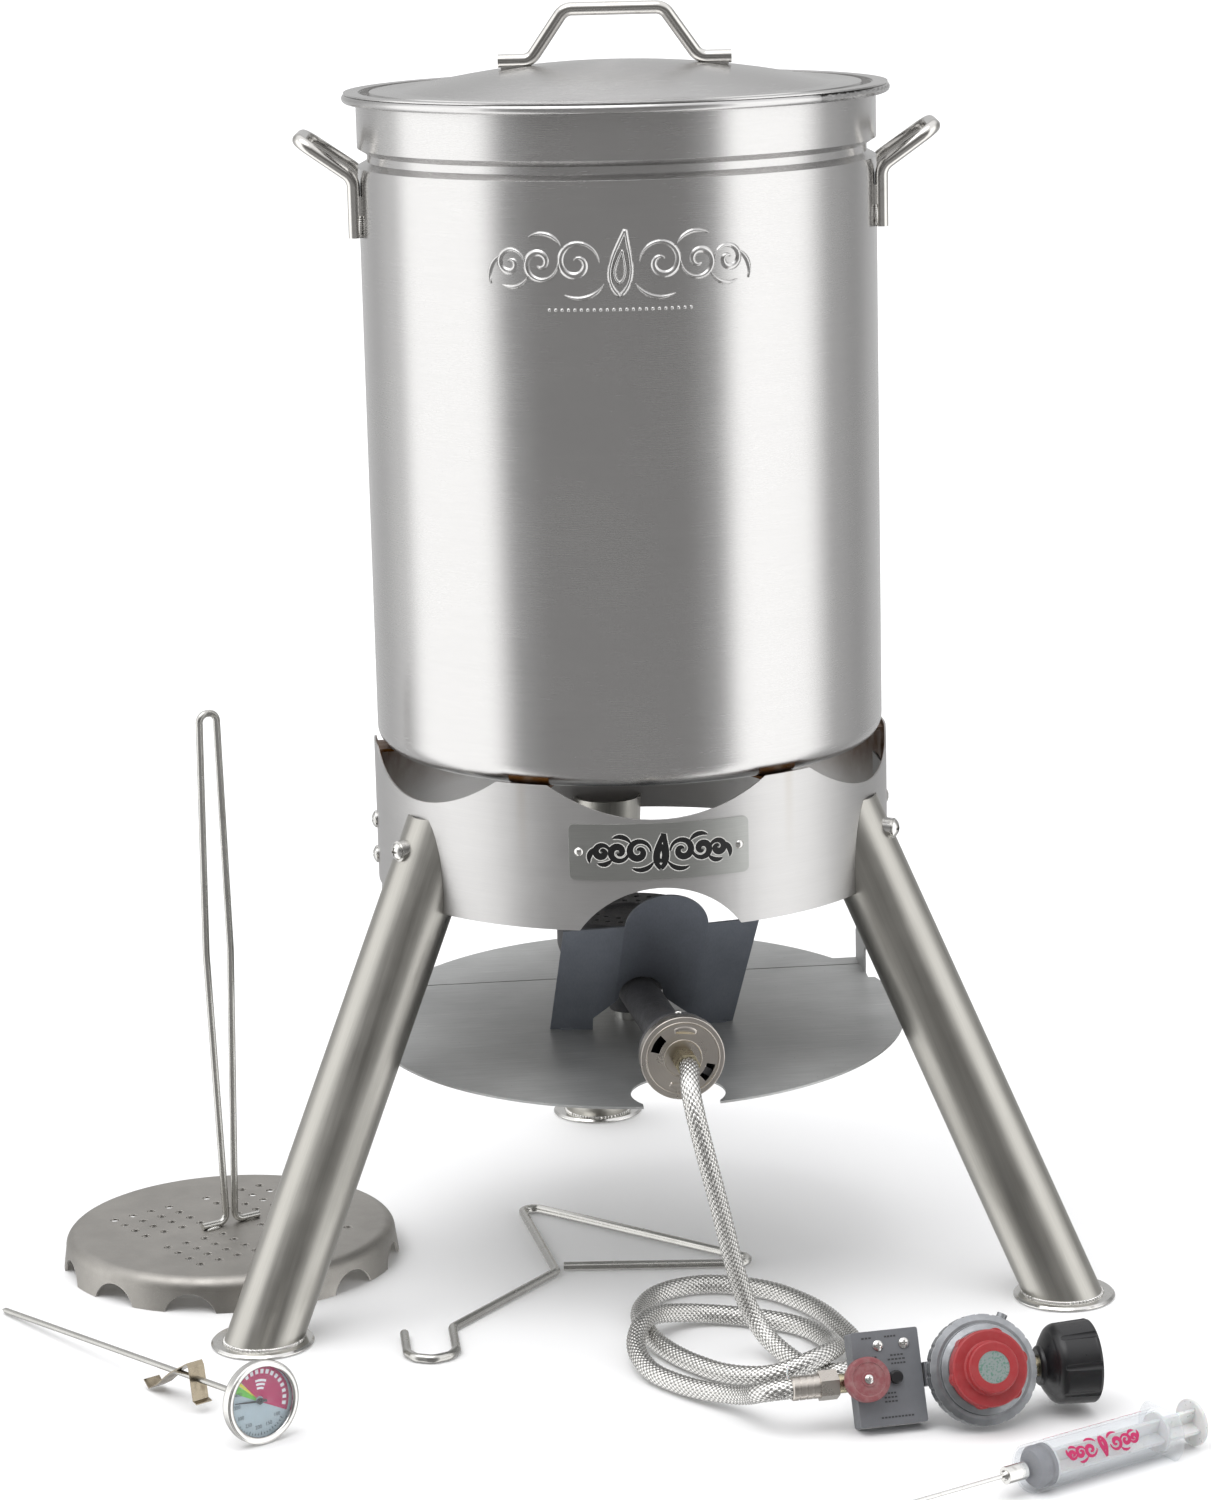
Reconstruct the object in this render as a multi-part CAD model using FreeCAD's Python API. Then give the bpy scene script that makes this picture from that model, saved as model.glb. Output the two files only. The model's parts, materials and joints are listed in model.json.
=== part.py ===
import FreeCAD, Part
import math
import os

# Turkey fryer kit: tripod burner stand, stock pot with lid, gas hose with regulator,
# and the loose tools that lie around it. Millimetres, +Z up. The origin is on the floor
# under the middle of the wind ring; the front of the stand, with its burner tube, faces -Y.
# An azimuth is measured from the front (-Y) towards +X.

V = FreeCAD.Vector
UP = V(0, 0, 1)
SKIN = 0.02          # air left between parts that are fastened together
RUNNING = 0.05       # radial clearance of a part that turns or slides
ROUNDING_SHARE = 0.49

# Wind ring and what is fastened to it
RING_R = 179.0
RING_WALL = 1.5
RING_BOTTOM = 280.0
RING_TOP = 378.0
SCALLOP_STEP = 60.0
SCALLOP_HALF = 24.0
SCALLOP_DEPTH = 23.0
ARCH_HALF_WIDTH = 54.0
ARCH_HEIGHT = 28.6
REST_TOP = 375.0
REST_BOTTOM = 352.0
REST_REACH = 25.0
REST_SHEET = 2.0
REST_ANGLE = 10.0
PLATE_SIZE = (120.0, 38.0)
PLATE_Z = 334.0
PLATE_SHEET = 0.8
RIVET_X = 53.5
RIVET_R = 1.6
RIVET_HEAD_R = 3.0
RIVET_HEAD_H = 1.4
RIVET_TAIL_R = 2.6

# Legs
LEG_AZIMUTHS = {"left": -60.0, "right": 60.0, "rear": 180.0}
LEG_R = 25.4
LEG_WALL = 1.5
LEG_TOP = (154.0, 343.0)
LEG_FOOT_RADIUS = 318.0
LEG_TONGUE_TOP = 290.0
FOOT_R = 35.0
FOOT_HOLE_R = 18.0
FOOT_SHEET = 3.0

# Screws
M6_R = 3.0
M6_HEAD = (6.0, 3.8)
LEG_BOLT_Z = 322.0
SHIELD_BOLT_Z = (297.0, 322.0)

# Heat shield: a tilted disc carried by two arms that are bent up from its rim
SHIELD_R = 190.0
SHIELD_SHEET = 1.5
SHIELD_Z = 170.0
SHIELD_TILT = 2.64
ARM_X = 176.3
ARM_TOP = 350.0
ARM_HALF_WIDTH = 20.0
EAR_Y = (68.0, 106.0)
CREASE_Y = 90.0
NOTCH_CENTRE = (10.0, -165.0)
NOTCH_R = 32.0
NOTCH_MOUTH = (-16.0, 36.0)

# Burner casting, its feed tube and the air shutter
BURNER_X = -4.0
HEAD_R = 51.0
HEAD_TOP = 248.0
BOSS_BOTTOM = 176.0
TUBE_Z = 197.0
TUBE_YAW = 3.9
TUBE_R = 13.5
TUBE_BORE = 10.0
BELL_R = 27.2
BELL_START = 168.0
BELL_MOUTH = 200.0
BURNER_BOLT_R = 4.0
BURNER_BOLT_TOP = 182.6
PORT_RINGS = ((36.0, 24), (25.0, 16))
PORT_R = 2.0
SHUTTER_SHEET = 1.2
SHUTTER_RIM = 7.0
SHUTTER_STEM_R = 5.0
SHUTTER_WINDOWS = (135.0, 315.0)
NUT_AF = 17.0
BURNER_NUT_AF = 14.6

# Baffle in front of the burner head
BAFFLE_SHEET = 1.2
BAFFLE_ORIGIN = V(0.0, -30.0, 170.0)
BAFFLE_LEAN = 26.0
BAFFLE_FOLD = 10.0
BAFFLE_DOME = (15.1, 91.0, 29.2)
# Each wing: foot and top of its crease, then its upper and lower outer corners
BAFFLE_WINGS = (
    ((-22.0, -8.0), (-14.0, 93.4), (-56.6, 85.6), (-64.7, -8.0)),
    ((32.5, -8.0), (44.3, 93.0), (81.3, 90.0), (65.7, -8.0)),
)
BAFFLE_OPENING = ((-34.0, -20.0), (41.0, -20.0), (41.0, 3.0), (14.0, 28.0), (-16.0, 28.0), (-34.0, 8.0))
BAFFLE_FEET_X = (-49.0, 54.0)
BAFFLE_SCREW_R = 2.5

# Hose
HOSE_R = 6.5
HOSE_BORE = 4.7
LINER_BORE = 3.2
FERRULE_R = 7.8
FERRULE_X = (-121.0, -103.0)

# Gas set: regulator, valve and control box lie on the floor, leaning back together
GAS_ORIGIN = V(175.5, -380.0, 35.6)
GAS_YAW = 7.0
GAS_LEAN = 24.0
VALVE_Y = 17.0
VALVE_Z = 1.7
VALVE_R = 6.2
BOX_X = (-80.5, -36.3)
BOX_Y = (9.0, 25.0)
BOX_Z = (-27.8, 32.0)
BOX_WALL = 1.6
KNOB_X = -75.0
KNOB_R = 14.2
KNOB_Y = (-4.0, 5.0)
SPINDLE_R = 3.0
BUTTON_X = -54.2
BUTTON_R = 4.3
BUTTON_TRAVEL = 2.0
BUTTON_COLLAR = (4.9, 0.9)
BOX_SCREWS = ((-63.3, 22.5), (-46.2, 22.5))
REGULATOR_R = 35.2
CAP_R = 25.8
CAP_H = (10.5, 20.0)
CAP_CROWN = (16.2, 28.0)
BADGE_R = 10.2
NECK_R = 19.0
SPRING_R = 11.0
SPRING_WIRE_R = 1.1
SPRING_PITCH = 4.0
SPRING_TURNS = 4
SPRING_BASE = 4.2
INLET_Y = 8.0
INLET_Z = -0.8
NIPPLE_R = 6.0
NIPPLE_COLLAR_R = 10.0
TANK_NUT_R = 26.7
TANK_NUT_X = (38.5, 75.5)
TANK_NUT_BORE = 16.65

# Pot and lid, turned a little about the stand's axis
POT_YAW = -5.86
POT_R = 176.0
POT_WALL = 1.0
POT_BOTTOM = 375.0
POT_CORNER = 14.0
GROOVE_Z = (774.5, 787.0)
GROOVE_DEPTH = 6.5
RIM_Z = 820.0
RIM_R = 182.5
BEAD_R = 3.0
HANDLE_ROD = 4.4
HANDLE_SPREAD = 32.0
HANDLE_Z = (728.0, 768.0, 793.5)
HANDLE_REACH = 38.0
LID_R = 184.0
LID_SHEET = 1.0
LID_Z = 823.0
LID_DOME_R = 147.0
LID_DOME_H = 17.0
LID_STEP = (168.0, 173.0, 4.0)
LID_ROD = 4.5
LID_FOOT_Z = 841.9
LID_GRIP_Z = 875.5

# Poultry rack
RACK_CENTRE = (-293.6, 21.5)
RACK_R = 119.5
RACK_TOP = 24.0
RACK_SHEET = 1.5
RACK_TEETH = 12
RACK_HOLE_R = 3.1
RACK_PITCH = 15.0
RACK_TURN = 30.0
LOOP_R = 2.5
LOOP_TOP = 398.0
LOOP_WIDTH = 13.6
LOOP_BELLY = (19.6, 226.0)
LOOP_NECK = 6.8
LOOP_BEND = 6.2
LOOP_FOOT = 23.0

# Grab hook
HOOK_R = 3.0

# Thermometer
PROBE_TIP = V(-453.7, -69.4, 2.2)
DIAL_CENTRE = V(-277.4, -339.7, 27.4)
PROBE_R = 2.0
DIAL_R = 27.0
CASE_DEPTH = 9.0
CLIP_FROM_TIP = 247.0
CLIP_WIDTH = 12.0
CLIP_SHEET = 0.8
CLIP_PROFILE = ((-57.0, -10.5), (-52.0, -15.5), (-42.0, -11.0), (-25.0, 0.0), (-2.0, 11.0), (-0.5, 8.0),
                (1.5, -13.5), (5.5, -15.0))

# Seasoning injector
BARREL_FRONT = V(180.0, -496.0, 15.2)
BARREL_AXIS = V(0.894, 0.447, 0.0)
BARREL_R = 15.0
BARREL_BORE = 13.4
BARREL_LENGTH = 108.0
FLANGE_R = 21.0
NEEDLE_LENGTH = 78.0
PLUNGER_OUT = 22.0


# ---------------------------------------------------------------- building blocks

def polar(azimuth, radius, z):
    """A point at an azimuth from the front, a radius and a height."""
    a = math.radians(azimuth)
    return V(radius * math.sin(a), -radius * math.cos(a), z)


def outward(azimuth):
    return polar(azimuth, 1.0, 0.0)


def rod_between(radius, start, end):
    return Part.makeCylinder(radius, (end - start).Length, start, end - start)


def pipe(outer, inner, length, base, axis):
    axis = V(axis).normalize()
    bore = Part.makeCylinder(inner, length + 2, base - axis, axis)
    return Part.makeCylinder(outer, length, base, axis).cut(bore)


def box(x, y, z):
    """A box from its two limits along each axis."""
    return Part.makeBox(x[1] - x[0], y[1] - y[0], z[1] - z[0], V(x[0], y[0], z[0]))


def outline(start, *steps):
    """A closed face in the XZ plane. A step of two numbers is a line, of four an arc."""
    here = V(start[0], 0, start[1])
    edges = []
    for step in steps + (start,):
        there = V(step[-2], 0, step[-1])
        if len(step) == 4:
            edges.append(Part.Arc(here, V(step[0], 0, step[1]), there).toShape())
        elif (there - here).Length > 1e-6:
            edges.append(Part.makeLine(here, there))
        here = there
    return Part.Face(Part.Wire(edges))


def crown(radius, low, high):
    """The arc of a spherical crown that ends on the axis, as a step of an outline."""
    rise = high - low
    sphere = (radius ** 2 + rise ** 2) / (2 * rise)
    half = math.asin(radius / sphere) / 2
    return sphere * math.sin(half), high - sphere + sphere * math.cos(half), 0, high


def turned(start, *steps, angle=360.0):
    """The outline turned about the Z axis."""
    return outline(start, *steps).revolve(V(0, 0, 0), UP, angle)


def bent_path(points, bend=None):
    """A wire through the points with each corner rounded to the bend radius, or, when no
    radius is given, to the largest arc that its two straights have room for."""
    last = len(points) - 1
    edges = []
    here = points[0]
    for i in range(1, last):
        corner = points[i]
        back = points[i - 1] - corner
        ahead = points[i + 1] - corner
        room = ROUNDING_SHARE * min(back.Length, ahead.Length)
        back.normalize()
        ahead.normalize()
        half = back.getAngle(ahead) / 2
        reach = bend / math.tan(half) if bend else room
        radius = reach * math.tan(half)
        entry = corner + back * reach
        leave = corner + ahead * reach
        middle = corner + (back + ahead).normalize() * (radius / math.sin(half) - radius)
        edges.append(Part.makeLine(here, entry))
        edges.append(Part.Arc(entry, middle, leave).toShape())
        here = leave
    edges.append(Part.makeLine(here, points[last]))
    return Part.Wire(edges)


def swept(path, radius):
    """A round bar of the given radius along a wire."""
    first = path.OrderedEdges[0]
    start = first.valueAt(first.FirstParameter)
    profile = Part.Wire(Part.makeCircle(radius, start, first.tangentAt(first.FirstParameter)))
    return path.makePipeShell([profile], True, True)


def bent_rod(points, radius, bend):
    return swept(bent_path(points, bend), radius)


def hex_bar(across_flats, length, base, axis, hole=0.0):
    """A hexagonal bar, drilled through when a hole radius is given."""
    corner = across_flats / math.sqrt(3)
    ring = [V(corner * math.cos(math.radians(60 * i)), corner * math.sin(math.radians(60 * i)), 0)
            for i in range(6)]
    bar = Part.Face(Part.makePolygon(ring + ring[:1])).extrude(V(0, 0, length))
    chamfer = Part.makeCone(corner + length / 2, corner - 0.6, length / 2 + 0.6, V(0, 0, length / 2))
    chamfer = chamfer.fuse(Part.makeCylinder(corner + length / 2, length / 2, V(0, 0, 0)))
    bar = bar.common(chamfer)
    if hole:
        bar = bar.cut(Part.makeCylinder(hole, length + 2, V(0, 0, -1)))
    bar.Placement = FreeCAD.Placement(base, FreeCAD.Rotation(UP, V(axis)))
    return bar


def pan_screw(seat, axis, length, shank, head):
    """A cross-recessed screw; axis points from the shank out through the head."""
    head_r, head_h = head
    edge = head_h * 0.35
    dome = turned((0, 0), (head_r, 0), (head_r, edge), crown(head_r, edge, head_h))
    arm = head_r * 0.5
    slot = head_r * 0.13
    depth = head_h * 0.55
    for size in ((arm, slot), (slot, arm)):
        dome = dome.cut(box((-size[0], size[0]), (-size[1], size[1]), (head_h - depth, head_h + 1)))
    screw = dome.fuse(Part.makeCylinder(shank, length, V(0, 0, -length)))
    screw.Placement = FreeCAD.Placement(seat, FreeCAD.Rotation(UP, V(axis)))
    return screw


def nut(seat, axis, across_flats, height, hole):
    """A hexagon nut whose flat face is on the seat; axis points away from the joint."""
    return hex_bar(across_flats, height, seat, axis, hole)


def turn(shape, angle):
    """A copy turned about the Z axis."""
    copy = shape.copy()
    copy.rotate(V(0, 0, 0), UP, angle)
    return copy


def group(shapes):
    return Part.makeCompound(list(shapes))


def along(axis_z, shape, base):
    """A shape built on the Z axis, set on a base with its Z along another axis."""
    copy = shape.copy()
    copy.Placement = FreeCAD.Placement(base, FreeCAD.Rotation(UP, V(axis_z))).multiply(copy.Placement)
    return copy


# ---------------------------------------------------------------- wind ring

def scallop_cutter(azimuth):
    half = RING_R * math.sin(math.radians(SCALLOP_HALF))
    radius = (half ** 2 + SCALLOP_DEPTH ** 2) / (2 * SCALLOP_DEPTH)
    centre = RING_TOP - SCALLOP_DEPTH + radius
    return Part.makeCylinder(radius, RING_R, polar(azimuth, RING_R / 2, centre), outward(azimuth))


def arch_cutter():
    radius = (ARCH_HALF_WIDTH ** 2 + ARCH_HEIGHT ** 2) / (2 * ARCH_HEIGHT)
    centre = RING_BOTTOM + ARCH_HEIGHT - radius
    return Part.makeCylinder(radius, RING_R, polar(0, RING_R / 2, centre), outward(0))


def wind_ring():
    ring = pipe(RING_R, RING_R - RING_WALL, RING_TOP - RING_BOTTOM, V(0, 0, RING_BOTTOM), UP)
    for i in range(round(360 / SCALLOP_STEP)):
        ring = ring.cut(scallop_cutter(i * SCALLOP_STEP))
    ring = ring.cut(arch_cutter())
    for azimuth in LEG_AZIMUTHS.values():
        ring = ring.cut(radial_hole(azimuth, LEG_BOLT_Z, M6_R + SKIN))
    for side in (-1, 1):
        for z in SHIELD_BOLT_Z:
            ring = ring.cut(radial_hole(90 * side, z, M6_R + SKIN))
        ring = ring.cut(rivet_hole(side))
    return ring


def radial_hole(azimuth, z, radius):
    return Part.makeCylinder(radius, RING_R, polar(azimuth, RING_R / 2, z), outward(azimuth))


def rivet_azimuth(side):
    return side * math.degrees(math.asin(RIVET_X / RING_R))


def rivet_hole(side):
    return radial_hole(rivet_azimuth(side), PLATE_Z, RIVET_R + SKIN)


def pot_rests():
    """Six angle strips welded behind the tall parts of the ring; the pot stands on them."""
    wall = RING_R - RING_WALL - SKIN
    reach = wall - REST_REACH
    strip = turned((reach, REST_TOP), (wall, REST_TOP), (wall, REST_BOTTOM),
                   (wall - REST_SHEET, REST_BOTTOM), (wall - REST_SHEET, REST_TOP - REST_SHEET),
                   (reach, REST_TOP - REST_SHEET), angle=REST_ANGLE)
    strip = turn(strip, -REST_ANGLE / 2)
    return group(turn(strip, i * SCALLOP_STEP) for i in range(round(360 / SCALLOP_STEP)))


def nameplate():
    width, height = PLATE_SIZE
    low = PLATE_Z - height / 2
    sheet = pipe(RING_R + SKIN + PLATE_SHEET, RING_R + SKIN, height, V(0, 0, low), UP)
    blank = box((-width / 2, width / 2), (-RING_R - 5, -RING_R / 2), (low, low + height))
    corners = [e for e in blank.Edges if abs(e.tangentAt(e.FirstParameter).y) > 0.9]
    plate = sheet.common(blank.makeFillet(4.0, corners))
    for side in (-1, 1):
        plate = plate.cut(rivet_hole(side))
    return plate


def nameplate_rivets():
    shapes = []
    grip = PLATE_SHEET + RING_WALL + 2 * SKIN
    for side in (-1, 1):
        azimuth = rivet_azimuth(side)
        rivet = turned((0, 0), (RIVET_HEAD_R, 0), crown(RIVET_HEAD_R, 0, RIVET_HEAD_H))
        rivet = rivet.fuse(Part.makeCylinder(RIVET_R, grip, V(0, 0, -grip)))
        rivet = rivet.fuse(Part.makeCylinder(RIVET_TAIL_R, 1.0, V(0, 0, -grip - 1.05)))
        rivet = rivet.fuse(Part.makeCylinder(RIVET_R, 0.1, V(0, 0, -grip - 0.1)))
        seat = polar(azimuth, RING_R + PLATE_SHEET + 2 * SKIN, PLATE_Z)
        shapes.append(along(outward(azimuth), rivet, seat))
    return group(shapes)


# ---------------------------------------------------------------- legs

def leg_line():
    """The leg's axis in the plane of its own azimuth, as two points on +X."""
    return V(LEG_TOP[0], 0, LEG_TOP[1]), V(LEG_FOOT_RADIUS, 0, 0)


def leg_bar(radius):
    top, foot = leg_line()
    step = (foot - top).normalize() * 60
    return rod_between(radius, top - step, foot + step)


def leg_blank():
    """One leg on the +X side, before it is turned to its azimuth."""
    leg = leg_bar(LEG_R).cut(leg_bar(LEG_R - LEG_WALL))
    slice_between = box((0, 500), (-60, 60), (FOOT_SHEET, LEG_TOP[1]))
    leg = leg.common(slice_between)
    tongue_space = Part.makeCylinder(RING_R + SKIN, 100, V(0, 0, LEG_TONGUE_TOP))
    slot = pipe(RING_R + SKIN, RING_R - RING_WALL - SKIN, 100, V(0, 0, RING_BOTTOM - SKIN), UP)
    leg = leg.cut(tongue_space).cut(slot)
    bolt = Part.makeCylinder(M6_R + SKIN, 40, V(RING_R, 0, LEG_BOLT_Z), V(1, 0, 0))
    return leg.cut(bolt)


def leg(side):
    return turn(leg_blank(), LEG_AZIMUTHS[side] - 90)


def foot_rings():
    rim = turned((FOOT_HOLE_R, 0), (FOOT_R - 1, 0), (FOOT_R, 1), (FOOT_R, 1.6),
                 (FOOT_R - 1.4, FOOT_SHEET), (FOOT_HOLE_R, FOOT_SHEET))
    rim.translate(V(LEG_FOOT_RADIUS, 0, 0))
    return group(turn(rim, a - 90) for a in LEG_AZIMUTHS.values())


def leg_skin_radius(z):
    """How far from the stand's axis the leg's outer skin is at a height."""
    top, foot = leg_line()
    lean = math.atan2(foot.x - top.x, top.z)
    return top.x + (top.z - z) * math.tan(lean) + LEG_R / math.cos(lean)


def bolt_seat():
    return leg_skin_radius(LEG_BOLT_Z - M6_HEAD[0] - 1) + 0.3


def leg_saddle_washers():
    """Washers hollowed to the round leg, so that each bolt head has a flat seat."""
    start = leg_skin_radius(LEG_BOLT_Z) - 8
    blank = pipe(M6_HEAD[0] + 1, M6_R + SKIN, bolt_seat() - start, V(start, 0, LEG_BOLT_Z), V(1, 0, 0))
    washer = blank.cut(leg_bar(LEG_R + SKIN))
    return group(turn(washer, a - 90) for a in LEG_AZIMUTHS.values())


def leg_bolts():
    length = bolt_seat() - RING_R + RING_WALL + 8
    bolt = pan_screw(V(bolt_seat() + SKIN, 0, LEG_BOLT_Z), V(1, 0, 0), length, M6_R, M6_HEAD)
    return group(turn(bolt, a - 90) for a in LEG_AZIMUTHS.values())


def leg_nuts():
    seat = V(RING_R - RING_WALL - 0.2, 0, LEG_BOLT_Z)
    one = nut(seat, V(-1, 0, 0), 10, 5, M6_R + SKIN)
    return group(turn(one, a - 90) for a in LEG_AZIMUTHS.values())


# ---------------------------------------------------------------- heat shield

def tilted(shape):
    copy = shape.copy()
    copy.rotate(V(0, 0, 0), V(1, 0, 0), SHIELD_TILT)
    copy.translate(V(0, 0, SHIELD_Z))
    return copy


def above_shield():
    """A block whose underside is the shield's tilted top face."""
    return tilted(box((-400, 400), (-400, 400), (SKIN, 300)))


def below_shield():
    return tilted(box((-400, 400), (-400, 400), (-300, -SHIELD_SHEET)))


def shield_disc():
    disc = Part.makeCylinder(SHIELD_R, SHIELD_SHEET, V(0, 0, -SHIELD_SHEET))
    ear = box((0, ARM_X), EAR_Y, (-SHIELD_SHEET, 0))
    for side in (-1, 1):
        piece = ear if side > 0 else ear.mirror(V(0, 0, 0), V(1, 0, 0))
        disc = disc.fuse(piece)
        relief = box((ARM_X, ARM_X + 30), (EAR_Y[0] - 10, EAR_Y[1] + 10), (-5, 5))
        disc = disc.cut(relief if side > 0 else relief.mirror(V(0, 0, 0), V(1, 0, 0)))
    notch = Part.makeCylinder(NOTCH_R, 10, V(*NOTCH_CENTRE, -5))
    mouth = box(NOTCH_MOUTH, (-SHIELD_R - 5, NOTCH_CENTRE[1]), (-5, 5))
    disc = disc.cut(notch).cut(mouth)
    crease = box((-SHIELD_R, SHIELD_R), (CREASE_Y - 0.8, CREASE_Y + 0.8), (-0.5, 1))
    disc = tilted(disc.cut(crease))
    disc = disc.cut(Part.makeCylinder(BURNER_BOLT_R + SKIN, 30, V(BURNER_X, 0, SHIELD_Z - 15)))
    for x, y in baffle_screw_places():
        disc = disc.cut(Part.makeCylinder(BAFFLE_SCREW_R + SKIN, 30, V(x, y, SHIELD_Z - 15)))
    return disc


def shield_arm():
    """The +X arm: up from the ear, forward under the ring, then up to its two bolts."""
    w = ARM_HALF_WIDTH
    knee = RING_BOTTOM - 4
    points = [(w, ARM_TOP), (w, knee), (EAR_Y[1], 196), (EAR_Y[1], 150),
              (EAR_Y[0], 150), (EAR_Y[0], 190), (-w, knee - 16), (-w, ARM_TOP)]
    ring = [V(ARM_X - SHIELD_SHEET, y, z) for y, z in points]
    arm = Part.Face(Part.makePolygon(ring + ring[:1])).extrude(V(SHIELD_SHEET, 0, 0))
    for z in SHIELD_BOLT_Z:
        arm = arm.cut(Part.makeCylinder(M6_R + SKIN, 20, V(ARM_X - 10, 0, z), V(1, 0, 0)))
    return arm.cut(below_shield())


def heat_shield():
    arm = shield_arm()
    return shield_disc().fuse(arm).fuse(arm.mirror(V(0, 0, 0), V(1, 0, 0))).removeSplitter()


def shield_bolts():
    shapes = []
    for side in (-1, 1):
        for z in SHIELD_BOLT_Z:
            seat = V(side * (RING_R + SKIN), 0, z)
            shapes.append(pan_screw(seat, V(side, 0, 0), 14, M6_R, M6_HEAD))
    return group(shapes)


def shield_nuts():
    shapes = []
    for side in (-1, 1):
        for z in SHIELD_BOLT_Z:
            seat = V(side * (ARM_X - SHIELD_SHEET - SKIN), 0, z)
            shapes.append(nut(seat, V(-side, 0, 0), 10, 5, M6_R + SKIN))
    return group(shapes)


# ---------------------------------------------------------------- burner

def feed_axis():
    return outward(TUBE_YAW)


def feed_point(distance):
    """A point on the feed tube's axis, measured from the burner's centre."""
    return V(BURNER_X, 0, TUBE_Z) + feed_axis() * distance


def burner_head():
    head = turned((0, BOSS_BOTTOM), (15, BOSS_BOTTOM), (16, 190), (30, 194), (47, 214, HEAD_R, 226),
                  (HEAD_R, 241), (HEAD_R - 1, 246, HEAD_R - 6, HEAD_TOP), (0, HEAD_TOP))
    cavity = turned((0, 203), (16, 203), (36, 212, 42, 228), (42, 239), (0, 239))
    ports = []
    for radius, count in PORT_RINGS:
        for i in range(count):
            ports.append(Part.makeCylinder(PORT_R, 20, polar(360 * i / count, radius, 232)))
    recess = turned((0, HEAD_TOP - 2), (17, HEAD_TOP - 2), (19, HEAD_TOP + 1), (0, HEAD_TOP + 1))
    head = head.cut(group(ports)).cut(recess)
    head.translate(V(BURNER_X, 0, 0))
    cavity.translate(V(BURNER_X, 0, 0))
    return head, cavity


def bell():
    length = BELL_MOUTH - BELL_START
    skin = turned((0, 0), (TUBE_R, 0), (TUBE_R + 1.5, 9, BELL_R, 16), (BELL_R, length), (0, length))
    hollow = turned((0, -1), (TUBE_BORE, -1), (TUBE_BORE, 3), (TUBE_BORE + 2, 11, BELL_R - 3.5, 18),
                    (BELL_R - 3.5, length + 1), (0, length + 1))
    return skin, hollow


def burner():
    head, cavity = burner_head()
    skin, hollow = bell()
    base = feed_point(BELL_START)
    tube = Part.makeCylinder(TUBE_R, BELL_START + 1, feed_point(0), feed_axis())
    bore = Part.makeCylinder(TUBE_BORE, BELL_START + 2, feed_point(0), feed_axis())
    body = head.fuse(tube).fuse(along(feed_axis(), skin, base))
    body = body.cut(cavity).cut(bore).cut(along(feed_axis(), hollow, base))
    body = body.fuse(spider()).cut(orifice_bore())
    depth = BURNER_BOLT_TOP - BOSS_BOTTOM + 0.3
    bolt = Part.makeCylinder(BURNER_BOLT_R + SKIN, depth, V(BURNER_X, 0, BOSS_BOTTOM))
    return body.cut(bolt).removeSplitter()


def spider():
    """The hub across the bell's mouth that holds the gas orifice, on three spokes."""
    length = BELL_MOUTH - BELL_START
    hub = Part.makeCylinder(9, 12, V(0, 0, length - 12))
    for i in range(3):
        spoke = box((0, BELL_R - 2), (-2.5, 2.5), (length - 10, length - 3))
        hub = hub.fuse(turn(spoke, 120 * i + 90))
    return along(feed_axis(), hub, feed_point(BELL_START))


def orifice_bore():
    return Part.makeCylinder(SHUTTER_STEM_R + SKIN, 30, feed_point(BELL_MOUTH - 20), feed_axis())


def burner_spacer():
    tube = pipe(12, BURNER_BOLT_R + SKIN, 30, V(BURNER_X, 0, BOSS_BOTTOM - 30 - SKIN), UP)
    return tube.common(above_shield())


def burner_bolt():
    """Goes up through the shield and the spacer into the burner's boss."""
    seat = SHIELD_Z - SHIELD_SHEET - 0.8
    head = hex_bar(13, 5.3, V(BURNER_X, 0, seat), V(0, 0, -1))
    shank = Part.makeCylinder(BURNER_BOLT_R, BURNER_BOLT_TOP - seat + 1, V(BURNER_X, 0, seat - 1))
    return head.fuse(shank)


def air_shutter():
    """A turning cup over the bell's mouth with two arc windows."""
    outer = BELL_R + RUNNING + SHUTTER_SHEET
    cup = turned((SHUTTER_STEM_R + RUNNING, 0), (BELL_R + RUNNING, 0), (BELL_R + RUNNING, -SHUTTER_RIM),
                 (outer, -SHUTTER_RIM), (outer, 0.3),
                 (outer - 0.3, SHUTTER_SHEET - 0.2, outer - 0.9, SHUTTER_SHEET),
                 (SHUTTER_STEM_R + RUNNING, SHUTTER_SHEET))
    window = turned((16.5, -3), (22.5, -3), (22.5, 3), (16.5, 3), angle=34.0)
    for start in SHUTTER_WINDOWS:
        cup = cup.cut(turn(window, start))
    return along(feed_axis(), cup, feed_point(BELL_MOUTH + RUNNING))


def orifice_fitting():
    face = BELL_MOUTH + SHUTTER_SHEET + 2 * RUNNING
    stem = Part.makeCylinder(SHUTTER_STEM_R, 18, feed_point(face - 18), feed_axis())
    collar = hex_bar(BURNER_NUT_AF - 1.6, 4, feed_point(face), feed_axis())
    thread = Part.makeCylinder(4.6, 10, feed_point(face + 3), feed_axis())
    bore = Part.makeCylinder(1.2, 40, feed_point(face - 19), feed_axis())
    return stem.fuse(collar).fuse(thread).cut(bore)


def swivel_nut_burner():
    start = BELL_MOUTH + SHUTTER_SHEET + 4.2
    base = feed_point(start)
    body = hex_bar(BURNER_NUT_AF, 14, base, feed_axis(), 4.6 + SKIN)
    return body.cut(Part.makeCylinder(HOSE_R + SKIN, 6, feed_point(start + 9), feed_axis()))


# ---------------------------------------------------------------- baffle

def baffle_panel(points):
    """A flat panel from points given as (sideways, up) on the baffle's own plane."""
    ring = [V(u, 0, w) for u, w in points]
    return Part.Face(Part.makePolygon(ring + ring[:1])).extrude(V(0, BAFFLE_SHEET, 0))


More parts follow.
